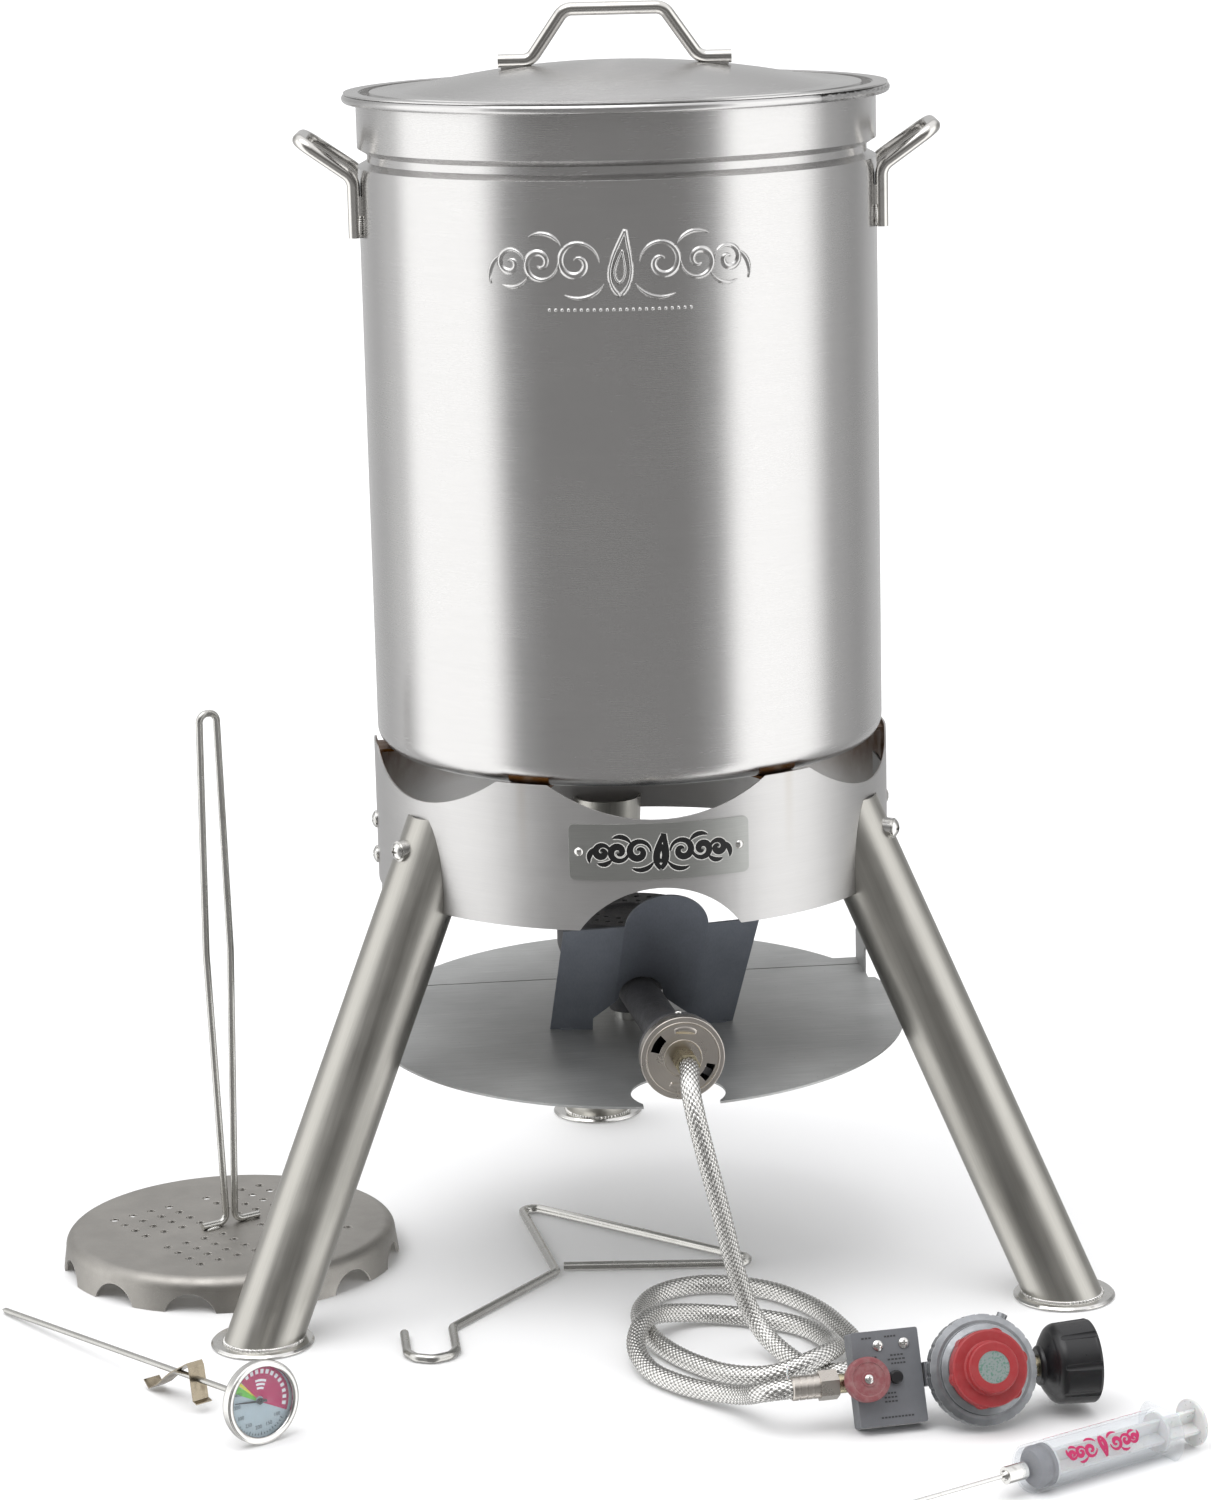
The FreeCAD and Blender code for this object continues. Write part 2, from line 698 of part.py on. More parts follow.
def baffle_wing(corners, angle):
    """A wing, folded back about its crease."""
    wing = baffle_panel(corners)
    (foot_x, foot_z), (top_x, top_z) = corners[:2]
    crease = V(top_x - foot_x, 0, top_z - foot_z).normalize()
    wing.rotate(V(foot_x, 0, foot_z), crease, angle)
    return wing


def baffle_foot_place(x):
    """Where a wing's lower edge meets the shield at x."""
    crease = BAFFLE_WINGS[x > 0][0][0]
    return BAFFLE_ORIGIN.y + abs(x - crease) * math.sin(math.radians(BAFFLE_FOLD))


def baffle_foot(x):
    """A tab at a wing's lower edge that turns back over the shield."""
    y = baffle_foot_place(x)
    layer = tilted(box((-400, 400), (-400, 400), (SKIN, SKIN + BAFFLE_SHEET)))
    return box((x - 7, x + 7), (y + 0.3, y + 16), (150, 190)).common(layer)


def baffle_screw_places():
    return [(x, baffle_foot_place(x) + 9) for x in BAFFLE_FEET_X]


def hose_baffle():
    """Heat baffle: a leaning panel with a round top, an opening for the tube and two wings."""
    left, right = BAFFLE_WINGS
    sheet = baffle_panel([left[0], right[0], right[1], left[1]])
    dome_x, dome_z, dome_r = BAFFLE_DOME
    dome = Part.makeCylinder(dome_r, BAFFLE_SHEET, V(dome_x, 0, dome_z), V(0, 1, 0))
    sheet = sheet.fuse(dome.common(box((-40, 80), (-5, 5), (dome_z - 4, 140))))
    sheet = sheet.fuse(baffle_wing(left, -BAFFLE_FOLD)).fuse(baffle_wing(right, BAFFLE_FOLD))
    ring = [V(x, -30, z) for x, z in BAFFLE_OPENING]
    sheet = sheet.cut(Part.Face(Part.makePolygon(ring + ring[:1])).extrude(V(0, 60, 0)))
    sheet.rotate(V(0, 0, 0), V(1, 0, 0), BAFFLE_LEAN)
    sheet.translate(BAFFLE_ORIGIN)
    for x in BAFFLE_FEET_X:
        sheet = sheet.fuse(baffle_foot(x))
    sheet = sheet.common(above_shield())
    sheet = sheet.cut(Part.makeCylinder(TUBE_R + 2, 80, feed_point(20), feed_axis()))
    for x, y in baffle_screw_places():
        sheet = sheet.cut(Part.makeCylinder(BAFFLE_SCREW_R + SKIN, 20, V(x, y, SHIELD_Z - 12)))
    return sheet.removeSplitter()


def baffle_screws():
    shapes = []
    lift = BAFFLE_SHEET + SKIN + 0.2
    for x, y in baffle_screw_places():
        z = SHIELD_Z + y * math.tan(math.radians(SHIELD_TILT)) + lift
        shapes.append(pan_screw(V(x, y, z + 0.1), UP, 10, BAFFLE_SCREW_R, (4.6, 2.8)))
    return group(shapes)


def baffle_nuts():
    shapes = []
    for x, y in baffle_screw_places():
        z = SHIELD_Z + y * math.tan(math.radians(SHIELD_TILT)) - SHIELD_SHEET - 0.3
        shapes.append(nut(V(x, y, z), V(0, 0, -1), 8, 4, BAFFLE_SCREW_R + SKIN))
    return group(shapes)


# ---------------------------------------------------------------- hose

def gas_point(x, y, z):
    """A point of the gas set's own frame."""
    return gas_placement().multVec(V(x, y, z))


def gas_placement():
    yaw = FreeCAD.Rotation(UP, GAS_YAW)
    lean = FreeCAD.Rotation(V(1, 0, 0), -GAS_LEAN)
    return FreeCAD.Placement(GAS_ORIGIN, yaw.multiply(lean))


def gas_axis(x, y, z):
    return gas_placement().Rotation.multVec(V(x, y, z))


def gas_set(shape):
    copy = shape.copy()
    copy.Placement = gas_placement().multiply(copy.Placement)
    return copy


def hose_path():
    """The hose as it lies: down from the burner, then two turns on the floor to the valve."""
    start = feed_point(BELL_MOUTH + SHUTTER_SHEET + 4.2 + 9.2)
    leave = feed_point(BELL_MOUTH + SHUTTER_SHEET + 4.2 + 20)
    drop = [V(9, -240, 191), V(11, -252, 174), V(18, -256, 143), V(27, -249, 106),
            V(36, -238, 66), V(45, -231, 34), V(56, -240, 14)]
    first_turn = [V(69, -265, 7), V(83, -293, 6.6), V(101, -297, 6.6), V(114, -277, 6.6),
                  V(117, -240, 6.6), V(103, -174, 6.6), V(73, -128, 6.6), V(31, -110, 6.6),
                  V(-3, -123, 6.6), V(-21, -160, 6.6), V(-19, -205, 6.6), V(-4, -250, 6.6),
                  V(24, -288, 6.8)]
    second_turn = [V(52, -309, 12), V(80, -304, 20.2), V(98, -281, 18), V(102, -246, 8),
                   V(87, -205, 6.8), V(55, -183, 6.6), V(22, -172, 7.5), V(-6, -186, 14.5),
                   V(-22, -211, 20.6), V(-32, -240, 13), V(-26, -274, 7), V(-2, -309, 7),
                   V(27, -342, 13)]
    arrive = gas_point(FERRULE_X[0] - 17, VALVE_Y, VALVE_Z)
    end = gas_point(FERRULE_X[1] - 1, VALVE_Y, VALVE_Z)
    return bent_path([start, leave] + drop + first_turn + second_turn + [arrive, end])


def hose_layer(outer, inner):
    path = hose_path()
    return swept(path, outer).cut(swept(path, inner))


def hose_braid():
    return hose_layer(HOSE_R, HOSE_BORE)


def hose_liner():
    return hose_layer(HOSE_BORE - SKIN, LINER_BORE)


def hose_ferrule():
    length = FERRULE_X[1] - FERRULE_X[0]
    sleeve = turned((HOSE_R + SKIN, 0), (FERRULE_R - 0.8, 0), (FERRULE_R, 0.8), (FERRULE_R, length),
                    (5.1, length), (5.1, length - 0.8), (HOSE_R + SKIN, length - 0.8))
    for i in range(3):
        groove = turned((FERRULE_R - 0.5, 0), (FERRULE_R + 1, 0), (FERRULE_R + 1, 1.4), (FERRULE_R - 0.5, 1.4))
        sleeve = sleeve.cut(groove.translated(V(0, 0, 4 + 4.5 * i)))
    return along(gas_axis(1, 0, 0), sleeve, gas_point(FERRULE_X[0], VALVE_Y, VALVE_Z))


def swivel_nut_valve():
    base = gas_point(FERRULE_X[1] + SKIN, VALVE_Y, VALVE_Z)
    return hex_bar(NUT_AF, 12, base, gas_axis(1, 0, 0), 5.0 + SKIN)


# ---------------------------------------------------------------- valve and control box

def valve_body():
    start = FERRULE_X[1] + 1.0
    tail = Part.makeCylinder(5.0, 14, V(start, VALVE_Y, VALVE_Z), V(1, 0, 0))
    run = Part.makeCylinder(VALVE_R, BOX_X[1] + 9 - (start + 12), V(start + 12, VALVE_Y, VALVE_Z), V(1, 0, 0))
    block = box((KNOB_X - 9, KNOB_X + 7), (VALVE_Y - 6.2, VALVE_Y + 6.5), (VALVE_Z - 8, VALVE_Z + 8))
    block = block.cut(box((-200, BOX_X[0] + BOX_WALL + 0.1), (-50, 50), (-50, 50)))
    body = tail.fuse(run).fuse(block)
    bore = Part.makeCylinder(2.5, 200, V(start - 1, VALVE_Y, VALVE_Z), V(1, 0, 0))
    spindle = Part.makeCylinder(SPINDLE_R + RUNNING, VALVE_Y + 4, V(KNOB_X, 0, VALVE_Z), V(0, 1, 0))
    room = button_back() + BUTTON_TRAVEL + 0.2
    pocket = Part.makeCylinder(BUTTON_COLLAR[0] + 0.5, room, V(BUTTON_X, 0, VALVE_Z), V(0, 1, 0))
    return gas_set(body.cut(bore).cut(spindle).cut(pocket))


def valve_spindle():
    start = KNOB_Y[0] + 3
    bar = Part.makeCylinder(SPINDLE_R, VALVE_Y + 3.5 - start, V(KNOB_X, start, VALVE_Z), V(0, 1, 0))
    way = Part.makeCylinder(1.9, 20, V(KNOB_X - 10, VALVE_Y, VALVE_Z), V(1, 0, 0))
    screw = Part.makeCylinder(1.5 + SKIN, 7, V(KNOB_X, start - 0.5, VALVE_Z), V(0, 1, 0))
    return gas_set(bar.cut(way).cut(screw))


def valve_knob():
    depth = KNOB_Y[1] - KNOB_Y[0]
    wheel = turned((0, 0), (KNOB_R - 1.2, 0), (KNOB_R - 0.3, 0.3, KNOB_R, 1.2), (KNOB_R, depth - 1.5),
                   (KNOB_R - 0.4, depth - 0.4, KNOB_R - 1.5, depth), (0, depth))
    dish = turned((4.5, depth - 0.6), (10.5, depth - 0.6), (11.5, depth + 1), (4.5, depth + 1))
    wheel = wheel.cut(dish)
    wheel = wheel.cut(Part.makeCylinder(SPINDLE_R + SKIN, depth - 3, V(0, 0, -0.0)))
    wheel = wheel.cut(Part.makeCylinder(1.5 + SKIN, depth + 2, V(0, 0, -1)))
    base = V(KNOB_X, KNOB_Y[1], VALVE_Z)
    return gas_set(along(V(0, -1, 0), wheel, base))


def knob_screw():
    seat = V(KNOB_X, KNOB_Y[0] - SKIN, VALVE_Z)
    return gas_set(pan_screw(seat, V(0, -1, 0), 7, 1.5, (2.9, 1.6)))


def control_cover():
    """The grey housing: five walls, open at the back, slotted for the valve and button."""
    shell = box(BOX_X, BOX_Y, BOX_Z)
    edges = [e for e in shell.Edges if abs(e.tangentAt(e.FirstParameter).y) > 0.9]
    shell = shell.makeFillet(1.6, edges)
    inside = box((BOX_X[0] + BOX_WALL, BOX_X[1] - BOX_WALL), (BOX_Y[0] + BOX_WALL, BOX_Y[1] + 1),
                 (BOX_Z[0] + BOX_WALL, BOX_Z[1] - BOX_WALL))
    shell = shell.cut(inside)
    gap = VALVE_R + 0.3
    passage = Part.makeCylinder(gap, 100, V(-120, VALVE_Y, VALVE_Z), V(1, 0, 0))
    back_way = box((-120, -20), (VALVE_Y, BOX_Y[1] + 1), (VALVE_Z - gap, VALVE_Z + gap))
    spindle = Part.makeCylinder(SPINDLE_R + 0.2, 10, V(KNOB_X, BOX_Y[0] - 5, VALVE_Z), V(0, 1, 0))
    button = Part.makeCylinder(BUTTON_R + RUNNING, 10, V(BUTTON_X, BOX_Y[0] - 5, VALVE_Z), V(0, 1, 0))
    shell = shell.cut(passage).cut(back_way).cut(spindle).cut(button)
    for x, z in BOX_SCREWS:
        post = box((x - 3.5, x + 3.5), (BOX_Y[0] + BOX_WALL - 0.1, BOX_Y[1] - 1.5), (z - 3.5, z + 3.5))
        hole = Part.makeCylinder(1.5 + SKIN, 30, V(x, BOX_Y[0] - 5, z), V(0, 1, 0))
        shell = shell.fuse(post).cut(hole)
    return gas_set(shell)


def control_plate():
    """The back plate, with cut-outs that clear the valve."""
    gap = BOX_WALL + 0.1
    plate = box((BOX_X[0] + gap, BOX_X[1] - gap), (BOX_Y[1] - 1.4, BOX_Y[1] - 0.1),
                (BOX_Z[0] + gap, BOX_Z[1] - gap))
    for x, z in BOX_SCREWS:
        plate = plate.cut(Part.makeCylinder(1.5 + SKIN, 30, V(x, BOX_Y[0], z), V(0, 1, 0)))
    return gas_set(plate)


def cover_screws():
    length = BOX_Y[1] - BOX_Y[0] - 0.1
    shapes = [pan_screw(V(x, BOX_Y[0] - SKIN, z), V(0, -1, 0), length, 1.5, (3.4, 1.9))
              for x, z in BOX_SCREWS]
    return gas_set(group(shapes))


def reset_button():
    """A push button whose inner collar keeps it behind the cover."""
    collar_r, collar = BUTTON_COLLAR
    back = button_back()
    height = back - (BOX_Y[0] - 3.6)
    stem = turned((0, 0), (collar_r, 0), (collar_r, collar), (BUTTON_R, collar), (BUTTON_R, height - 0.8),
                  (BUTTON_R - 0.8, height), (0, height))
    return gas_set(along(V(0, -1, 0), stem, V(BUTTON_X, back, VALVE_Z)))


def button_back():
    """How deep the released button reaches into the box."""
    return BOX_Y[0] + BOX_WALL + 0.1 + BUTTON_COLLAR[1]


# ---------------------------------------------------------------- regulator

def facing(shape):
    """A shape turned on the Z axis, set so that its Z comes out of the regulator's face."""
    return along(V(0, -1, 0), shape, V(0, 0, 0))


def crimped(shape, low, high):
    """Notches the rim of the regulator, as a rolled joint is."""
    notch = Part.makeCylinder(2.4, high - low, V(REGULATOR_R + 1.9, 0, low))
    return shape.cut(group(turn(notch, 15 * i) for i in range(24)))


def regulator_body():
    bowl = turned((0, -14), (13, -14), (21, -11), (28, -7, 31, -5), (REGULATOR_R, -4.5), (REGULATOR_R, 0),
                  (0, 0))
    hollow = turned((0, -9), (14, -9), (24, -4), (25, 1), (0, 1))
    bowl = crimped(bowl, -5, 0.5)
    neck = turned((0, 0), (10.5, 0), (9.0, 13), (7.4, 18), (7.4, 21), (0, 21))
    neck = along(V(1, 0, 0), neck, V(15, INLET_Y, INLET_Z))
    neck = neck.cut(box((0, REGULATOR_R + 0.3), (-10, 0), (-20, 20)))
    boss = box((BOX_X[1] + 0.4, -14), (4, VALVE_Y + 7.5), (VALVE_Z - 7.5, VALVE_Z + 7.5))
    vent = Part.makeCylinder(3.4, 14, V(12.5, 4, 21.7), V(0.5, 0, 0.866))
    body = facing(bowl).fuse(neck).fuse(boss).fuse(vent).cut(facing(hollow))
    body = body.cut(Part.makeCylinder(NIPPLE_R + 0.72, 60, V(10, INLET_Y, INLET_Z), V(1, 0, 0)))
    body = body.cut(Part.makeCylinder(VALVE_R + SKIN, 11, V(BOX_X[1], VALVE_Y, VALVE_Z), V(1, 0, 0)))
    body = body.cut(Part.makeCylinder(1.2, 30, V(12.5, 4, 21.7), V(0.5, 0, 0.866)))
    return gas_set(body)


def regulator_diaphragm():
    plate = turned((0, SKIN), (REGULATOR_R - 2.2, SKIN), (REGULATOR_R - 2.2, 0.8), (6, 0.8), (6, 2.4), (0, 2.4))
    return gas_set(facing(plate))


def regulator_bonnet():
    shell = turned((25, 0.9), (REGULATOR_R, 0.9), (REGULATOR_R, 4.4), (31.2, 5.6), (29, 5.6), (28.5, 8.0),
                   (25, 9.6), (NECK_R, 10.2), (NECK_R, 19), (NECK_R - 3, 19), (NECK_R - 3, 6), (25, 3.5))
    return gas_set(facing(crimped(shell, 0.5, 5.0)))


def regulator_spring():
    """The spring between the diaphragm and the cap, made of half turns that tilt one way and
    then the other, so that they meet without a kink."""
    rise = SPRING_PITCH / 2
    tilt = math.degrees(math.atan2(rise, 2 * SPRING_R))
    bend = Part.makeTorus(math.hypot(SPRING_R, rise / 2), SPRING_WIRE_R, V(0, 0, 0), UP, 0, 360, 180)
    halves = []
    for i in range(2 * SPRING_TURNS):
        half = turn(bend, 180 * i)
        half.rotate(V(0, 0, 0), V(0, 1, 0), tilt if i % 2 == 0 else -tilt)
        half.translate(V(0, 0, SPRING_BASE + rise * (i + 0.5)))
        halves.append(half)
    return gas_set(facing(halves[0].fuse(halves[1:])))


def adjuster_cap():
    """The turning cap: a lugged skirt round the bonnet's neck and a raised crown."""
    low, high = CAP_H
    crown_r, top = CAP_CROWN
    skin = turned((0, low), (CAP_R - 1.4, low), (CAP_R - 1.4, high - 1.5),
                  (CAP_R - 1.9, high - 0.4, CAP_R - 3, high), (crown_r + 1, high), (crown_r, high + 1),
                  (crown_r, top - 1.2), (crown_r - 0.4, top - 0.3, crown_r - 1.5, top), (0, top))
    lug = Part.makeCylinder(5.2, high - low - 1.5, V(CAP_R - 5.2, 0, low))
    for i in range(6):
        skin = skin.fuse(turn(lug, 60 * i + 12))
    hollow = turned((0, low - 1), (NECK_R + 0.08, low - 1), (NECK_R + 0.08, high - 0.8),
                    (13.6, high - 0.8), (13.6, top - 3.4), (0, top - 3.4))
    seat = turned((0, top - 1.2), (BADGE_R + SKIN, top - 1.2), (BADGE_R + SKIN, top + 1), (0, top + 1))
    return gas_set(facing(skin.cut(hollow).cut(seat)))


def adjuster_badge():
    top = CAP_CROWN[1]
    return gas_set(facing(Part.makeCylinder(BADGE_R, 0.9, V(0, 0, top - 1.18))))


def inlet_axis_point(x):
    return V(x, INLET_Y, INLET_Z)


def inlet_nipple():
    """Screwed into the regulator; its collar keeps the tank nut and its nose meets the tank."""
    seat = TANK_NUT_X[0] + 14
    root = Part.makeCylinder(NIPPLE_R + 0.7, seat - 21, inlet_axis_point(22), V(1, 0, 0))
    collar = Part.makeCylinder(NIPPLE_COLLAR_R, 3, inlet_axis_point(seat), V(1, 0, 0))
    nose = Part.makeCylinder(NIPPLE_R, 15, inlet_axis_point(seat), V(1, 0, 0))
    tip = Part.makeCone(NIPPLE_R, NIPPLE_R - 2, 5, inlet_axis_point(seat + 15), V(1, 0, 0))
    bore = Part.makeCylinder(2.4, 70, inlet_axis_point(20), V(1, 0, 0))
    return gas_set(root.fuse(collar).fuse(nose).fuse(tip).cut(bore))


def tank_nut():
    """The ribbed hand nut that screws onto the tank valve."""
    start, end = TANK_NUT_X
    length = end - start
    blank = turned((0, 0), (11, 0), (12.5, 1, 13, 3), (18, 5.5, 21.5, 8), (24.5, 10.5, TANK_NUT_R - 0.8, 15),
                   (TANK_NUT_R, length - 3), (TANK_NUT_R - 0.6, length - 0.6, TANK_NUT_R - 2.5, length),
                   (0, length))
    groove = Part.makeCylinder(3.2, length, V(TANK_NUT_R + 1.6, 0, 12))
    blank = blank.cut(group(turn(groove, 45 * i + 10) for i in range(8)))
    blank = blank.cut(Part.makeCylinder(NIPPLE_R + 0.7 + RUNNING, length, V(0, 0, -1)))
    blank = blank.cut(Part.makeCylinder(TANK_NUT_BORE, length, V(0, 0, 13.9)))
    return gas_set(along(V(1, 0, 0), blank, inlet_axis_point(start)))


# ---------------------------------------------------------------- pot and lid

def pot():
    wall_in = POT_R - POT_WALL
    low, high = GROOVE_Z
    waist = POT_R - GROOVE_DEPTH
    corner = POT_CORNER * (1 - math.sqrt(0.5))
    inner_corner = (POT_CORNER - POT_WALL) * (1 - math.sqrt(0.5))
    shell = turned(
        (0, POT_BOTTOM), (POT_R - POT_CORNER, POT_BOTTOM),
        (POT_R - corner, POT_BOTTOM + corner, POT_R, POT_BOTTOM + POT_CORNER),
        (POT_R, low), (waist, low + 3.5), (waist, high - 4), (POT_R, high), (POT_R, RIM_Z - 3.5),
        (POT_R + 0.8, RIM_Z - 1.3, POT_R + 3, RIM_Z - 0.5), (RIM_R, RIM_Z - 0.5), (RIM_R, RIM_Z + 0.5),
        (POT_R + 2.6, RIM_Z + 0.5), (wall_in + 0.8, RIM_Z - 0.4, wall_in, RIM_Z - 3),
        (wall_in, high - 0.4), (waist - 1, high - 4.4), (waist - 1, low + 3.9), (wall_in, low + 0.4),
        (wall_in, POT_BOTTOM + POT_CORNER),
        (wall_in - inner_corner, POT_BOTTOM + POT_WALL + inner_corner, POT_R - POT_CORNER, POT_BOTTOM + POT_WALL),
        (0, POT_BOTTOM + POT_WALL))
    bead = Part.makeTorus(RIM_R, BEAD_R, V(0, 0, RIM_Z))
    return turn(shell.fuse(bead).removeSplitter(), POT_YAW)


def pot_handle():
    """One handle on the +X side: a bent rod and the two welds that hold it to the wall."""
    foot, bend, tip = HANDLE_Z
    angle = math.asin(HANDLE_SPREAD / (POT_R + HANDLE_ROD))
    x = (POT_R + HANDLE_ROD + 0.05) * math.cos(angle)
    y = HANDLE_SPREAD
    out = POT_R + HANDLE_REACH
    points = [V(x, -y, foot), V(x, -y, bend), V(out, -y + 3, tip), V(out, y - 3, tip), V(x, y, bend),
              V(x, y, foot)]
    rod = bent_rod(points, HANDLE_ROD, 11.0)
    for side in (-1, 1):
        weld = box((x - 8, x - 1), (side * y - 2.6, side * y + 2.6), (foot + 1, bend - 12))
        rod = rod.fuse(weld)
    return rod.cut(Part.makeCylinder(POT_R + 0.01, 100, V(0, 0, foot - 20)))


def pot_handles():
    one = pot_handle()
    return group([turn(one, POT_YAW), turn(one, POT_YAW + 180)])


def lid_dome(drop):
    """The dome's sphere, or one a drop below it: foot radius, middle of its arc, top."""
    top = LID_Z + LID_SHEET + LID_DOME_H
    sphere = (LID_DOME_R ** 2 + LID_DOME_H ** 2) / (2 * LID_DOME_H)
    centre = top - sphere
    foot = math.sqrt((sphere - drop) ** 2 - (LID_Z + LID_SHEET - drop - centre) ** 2)
    half = math.asin(foot / (sphere - drop)) / 2
    middle = (sphere - drop) * math.sin(half), centre + (sphere - drop) * math.cos(half)
    return foot, middle, top - drop


def lid():
    """A rim that rests on the bead, a step that drops inside it, and a shallow dome."""
    inner, outer, depth = LID_STEP
    t = LID_SHEET
    base = LID_Z + t
    floor = LID_Z - depth
    foot, middle, top = lid_dome(0)
    under_foot, under_middle, under_top = lid_dome(t)
    shell = turned(
        (LID_R, LID_Z), (LID_R, base), (outer + t, base), (outer + t, floor + t), (inner, floor + t),
        (inner - 1.5 * t, base), (foot, base), (*middle, 0, top), (0, under_top),
        (*under_middle, under_foot, LID_Z), (inner - 2.5 * t, LID_Z), (inner - t, floor), (outer, floor),
        (outer, LID_Z))
    return turn(shell, POT_YAW)


def lid_mass():
    """Everything below the lid's dome, for trimming the handle's welds."""
    foot, middle, top = lid_dome(0)
    return turned((0, LID_Z - 40), (foot, LID_Z - 40), (foot, LID_Z + LID_SHEET), (*middle, 0, top))


def lid_handle():
    points = [V(-79, 0, LID_FOOT_Z), V(-57, 0, LID_FOOT_Z), V(-33.5, 0, LID_GRIP_Z), V(33.5, 0, LID_GRIP_Z),
              V(57, 0, LID_FOOT_Z), V(79, 0, LID_FOOT_Z)]
    rod = bent_rod(points, LID_ROD, 10.0)
    for side in (-1, 1):
        weld = box((side * 69 - 8, side * 69 + 8), (-2.8, 2.8), (LID_FOOT_Z - 9, LID_FOOT_Z - 2))
        rod = rod.fuse(weld)
    return turn(rod.cut(lid_mass()), POT_YAW)


# ---------------------------------------------------------------- loose tools

def rack_plate():
    """A perforated dish turned upside down, its skirt cut into rounded teeth."""
    t = RACK_SHEET
    top = RACK_TOP
    dish = turned((0, top), (RACK_R - 11, top), (RACK_R - 4.5, top - 2.5, RACK_R - 2, top - 9), (RACK_R, 0),
                  (RACK_R - t, 0), (RACK_R - t - 2, top - 9),
                  (RACK_R - 5.5, top - 3.6, RACK_R - 11, top - t), (0, top - t))
    bite = math.pi * RACK_R / RACK_TEETH * 0.62
    for i in range(RACK_TEETH):
        azimuth = 360 * (i + 0.5) / RACK_TEETH
        dish = dish.cut(Part.makeCylinder(bite, RACK_R, polar(azimuth, RACK_R / 2, -bite * 0.32), outward(azimuth)))
    dish = dish.cut(group(rack_holes()))
    dish.translate(V(*RACK_CENTRE, 0))
    return dish


def rack_holes():
    """Four blocks of four by four holes with plain bands between them."""
    holes = []
    places = [RACK_PITCH * (i + 1.05) for i in range(4)]
    for x in places:
        for y in places:
            if math.hypot(x, y) > RACK_R - 28:
                continue
            for quarter in range(4):
                spot = turn(Part.makeCylinder(RACK_HOLE_R, 20, V(x, y, 10)), RACK_TURN + 90 * quarter)
                holes.append(spot)
    return holes


def rack_loop():
    """The lifting loop: one wire bent to a hairpin, its feet welded to the plate."""
    seat = RACK_TOP + LOOP_R - 0.05
    half = LOOP_WIDTH / 2
    belly, belly_z = LOOP_BELLY
    side = [(LOOP_FOOT, seat), (LOOP_NECK / 2, seat), (belly / 2, belly_z), (half, LOOP_TOP)]
    points = [V(-x, 0, z) for x, z in side] + [V(x, 0, z) for x, z in side[::-1]]
    loop = bent_rod(points, LOOP_R, LOOP_BEND)
    loop = turn(loop, RACK_TURN - 1)
    loop.translate(V(*RACK_CENTRE, 0))
    return loop


def grab_hook():
    """One wire: a three-sided grip, a stem, and a hook at the far end."""
    z = HOOK_R
    points = [V(-61, -50, z), V(84, -67, z), V(-82, 92, z), V(-67, -60, z), V(-147, -160, z), V(-147, -203, z),
              V(-152, -212.5, z), V(-163.5, -217.5, z), V(-175, -212.5, z), V(-180, -203, z),
              V(-180, -166, z)]
    return swept(bent_path(points, 8.0), HOOK_R)


def probe_axis():
    return (DIAL_CENTRE - PROBE_TIP).normalize()


def on_probe(distance):
    return PROBE_TIP + probe_axis() * distance


def dial_point(depth):
    """A point behind the dial's face on its axis."""
    return DIAL_CENTRE - probe_axis() * depth


def dial_part(shape, depth):
    return along(probe_axis(), shape, dial_point(depth))


def thermometer_stem():
    length = (dial_point(CASE_DEPTH) - PROBE_TIP).Length
    stem = turned((0, 0), (PROBE_R, 5), (PROBE_R, length - 14), (3.2, length - 12), (4.4, length - 10),
                  (4.4, length - SKIN), (0, length - SKIN))
    return along(probe_axis(), stem, PROBE_TIP)


def thermometer_case():
    d = CASE_DEPTH
    cup = turned((0, 0), (DIAL_R - 4, 0), (DIAL_R - 1.2, 0.9, DIAL_R - 0.6, 3.5), (DIAL_R, 4), (DIAL_R, d - 0.8),
                 (DIAL_R - 0.3, d - 0.2, DIAL_R - 0.9, d), (DIAL_R - 3, d - 0.4), (DIAL_R - 3, 1), (0, 1))
    return dial_part(cup, d)


def dial_face():
    return dial_part(Part.makeCylinder(DIAL_R - 3.05, 0.6, V(0, 0, 3.2)), CASE_DEPTH)


def dial_needle():
    """The pointer and its arbor."""
    arbor = Part.makeCylinder(0.6, 2.2, V(0, 0, 3.85))
    hub = Part.makeCylinder(2.2, 0.6, V(0, 0, 4.6))
    ring = [V(-5, -0.9, 4.7), V(19, -0.25, 4.7), V(19, 0.25, 4.7), V(-5, 0.9, 4.7)]
    blade = Part.Face(Part.makePolygon(ring + ring[:1])).extrude(V(0, 0, 0.4))
    return dial_part(turn(arbor.fuse(hub).fuse(blade), 205), CASE_DEPTH)


def dial_lens():
    return dial_part(Part.makeCylinder(DIAL_R - 3.05, 1.2, V(0, 0, 6.6)), CASE_DEPTH)


def ribbon(points, thickness):
    """The two sides of a strip of sheet whose middle line runs through the points."""
    sides = ([], [])
    for i, here in enumerate(points):
        before, after = points[max(i - 1, 0)], points[min(i + 1, len(points) - 1)]
        normal = V(before[1] - after[1], after[0] - before[0], 0).normalize() * (thickness / 2)
        sides[0].append((here[0] + normal.x, here[1] + normal.y))
        sides[1].append((here[0] - normal.x, here[1] - normal.y))
    return sides[0] + sides[1][::-1]


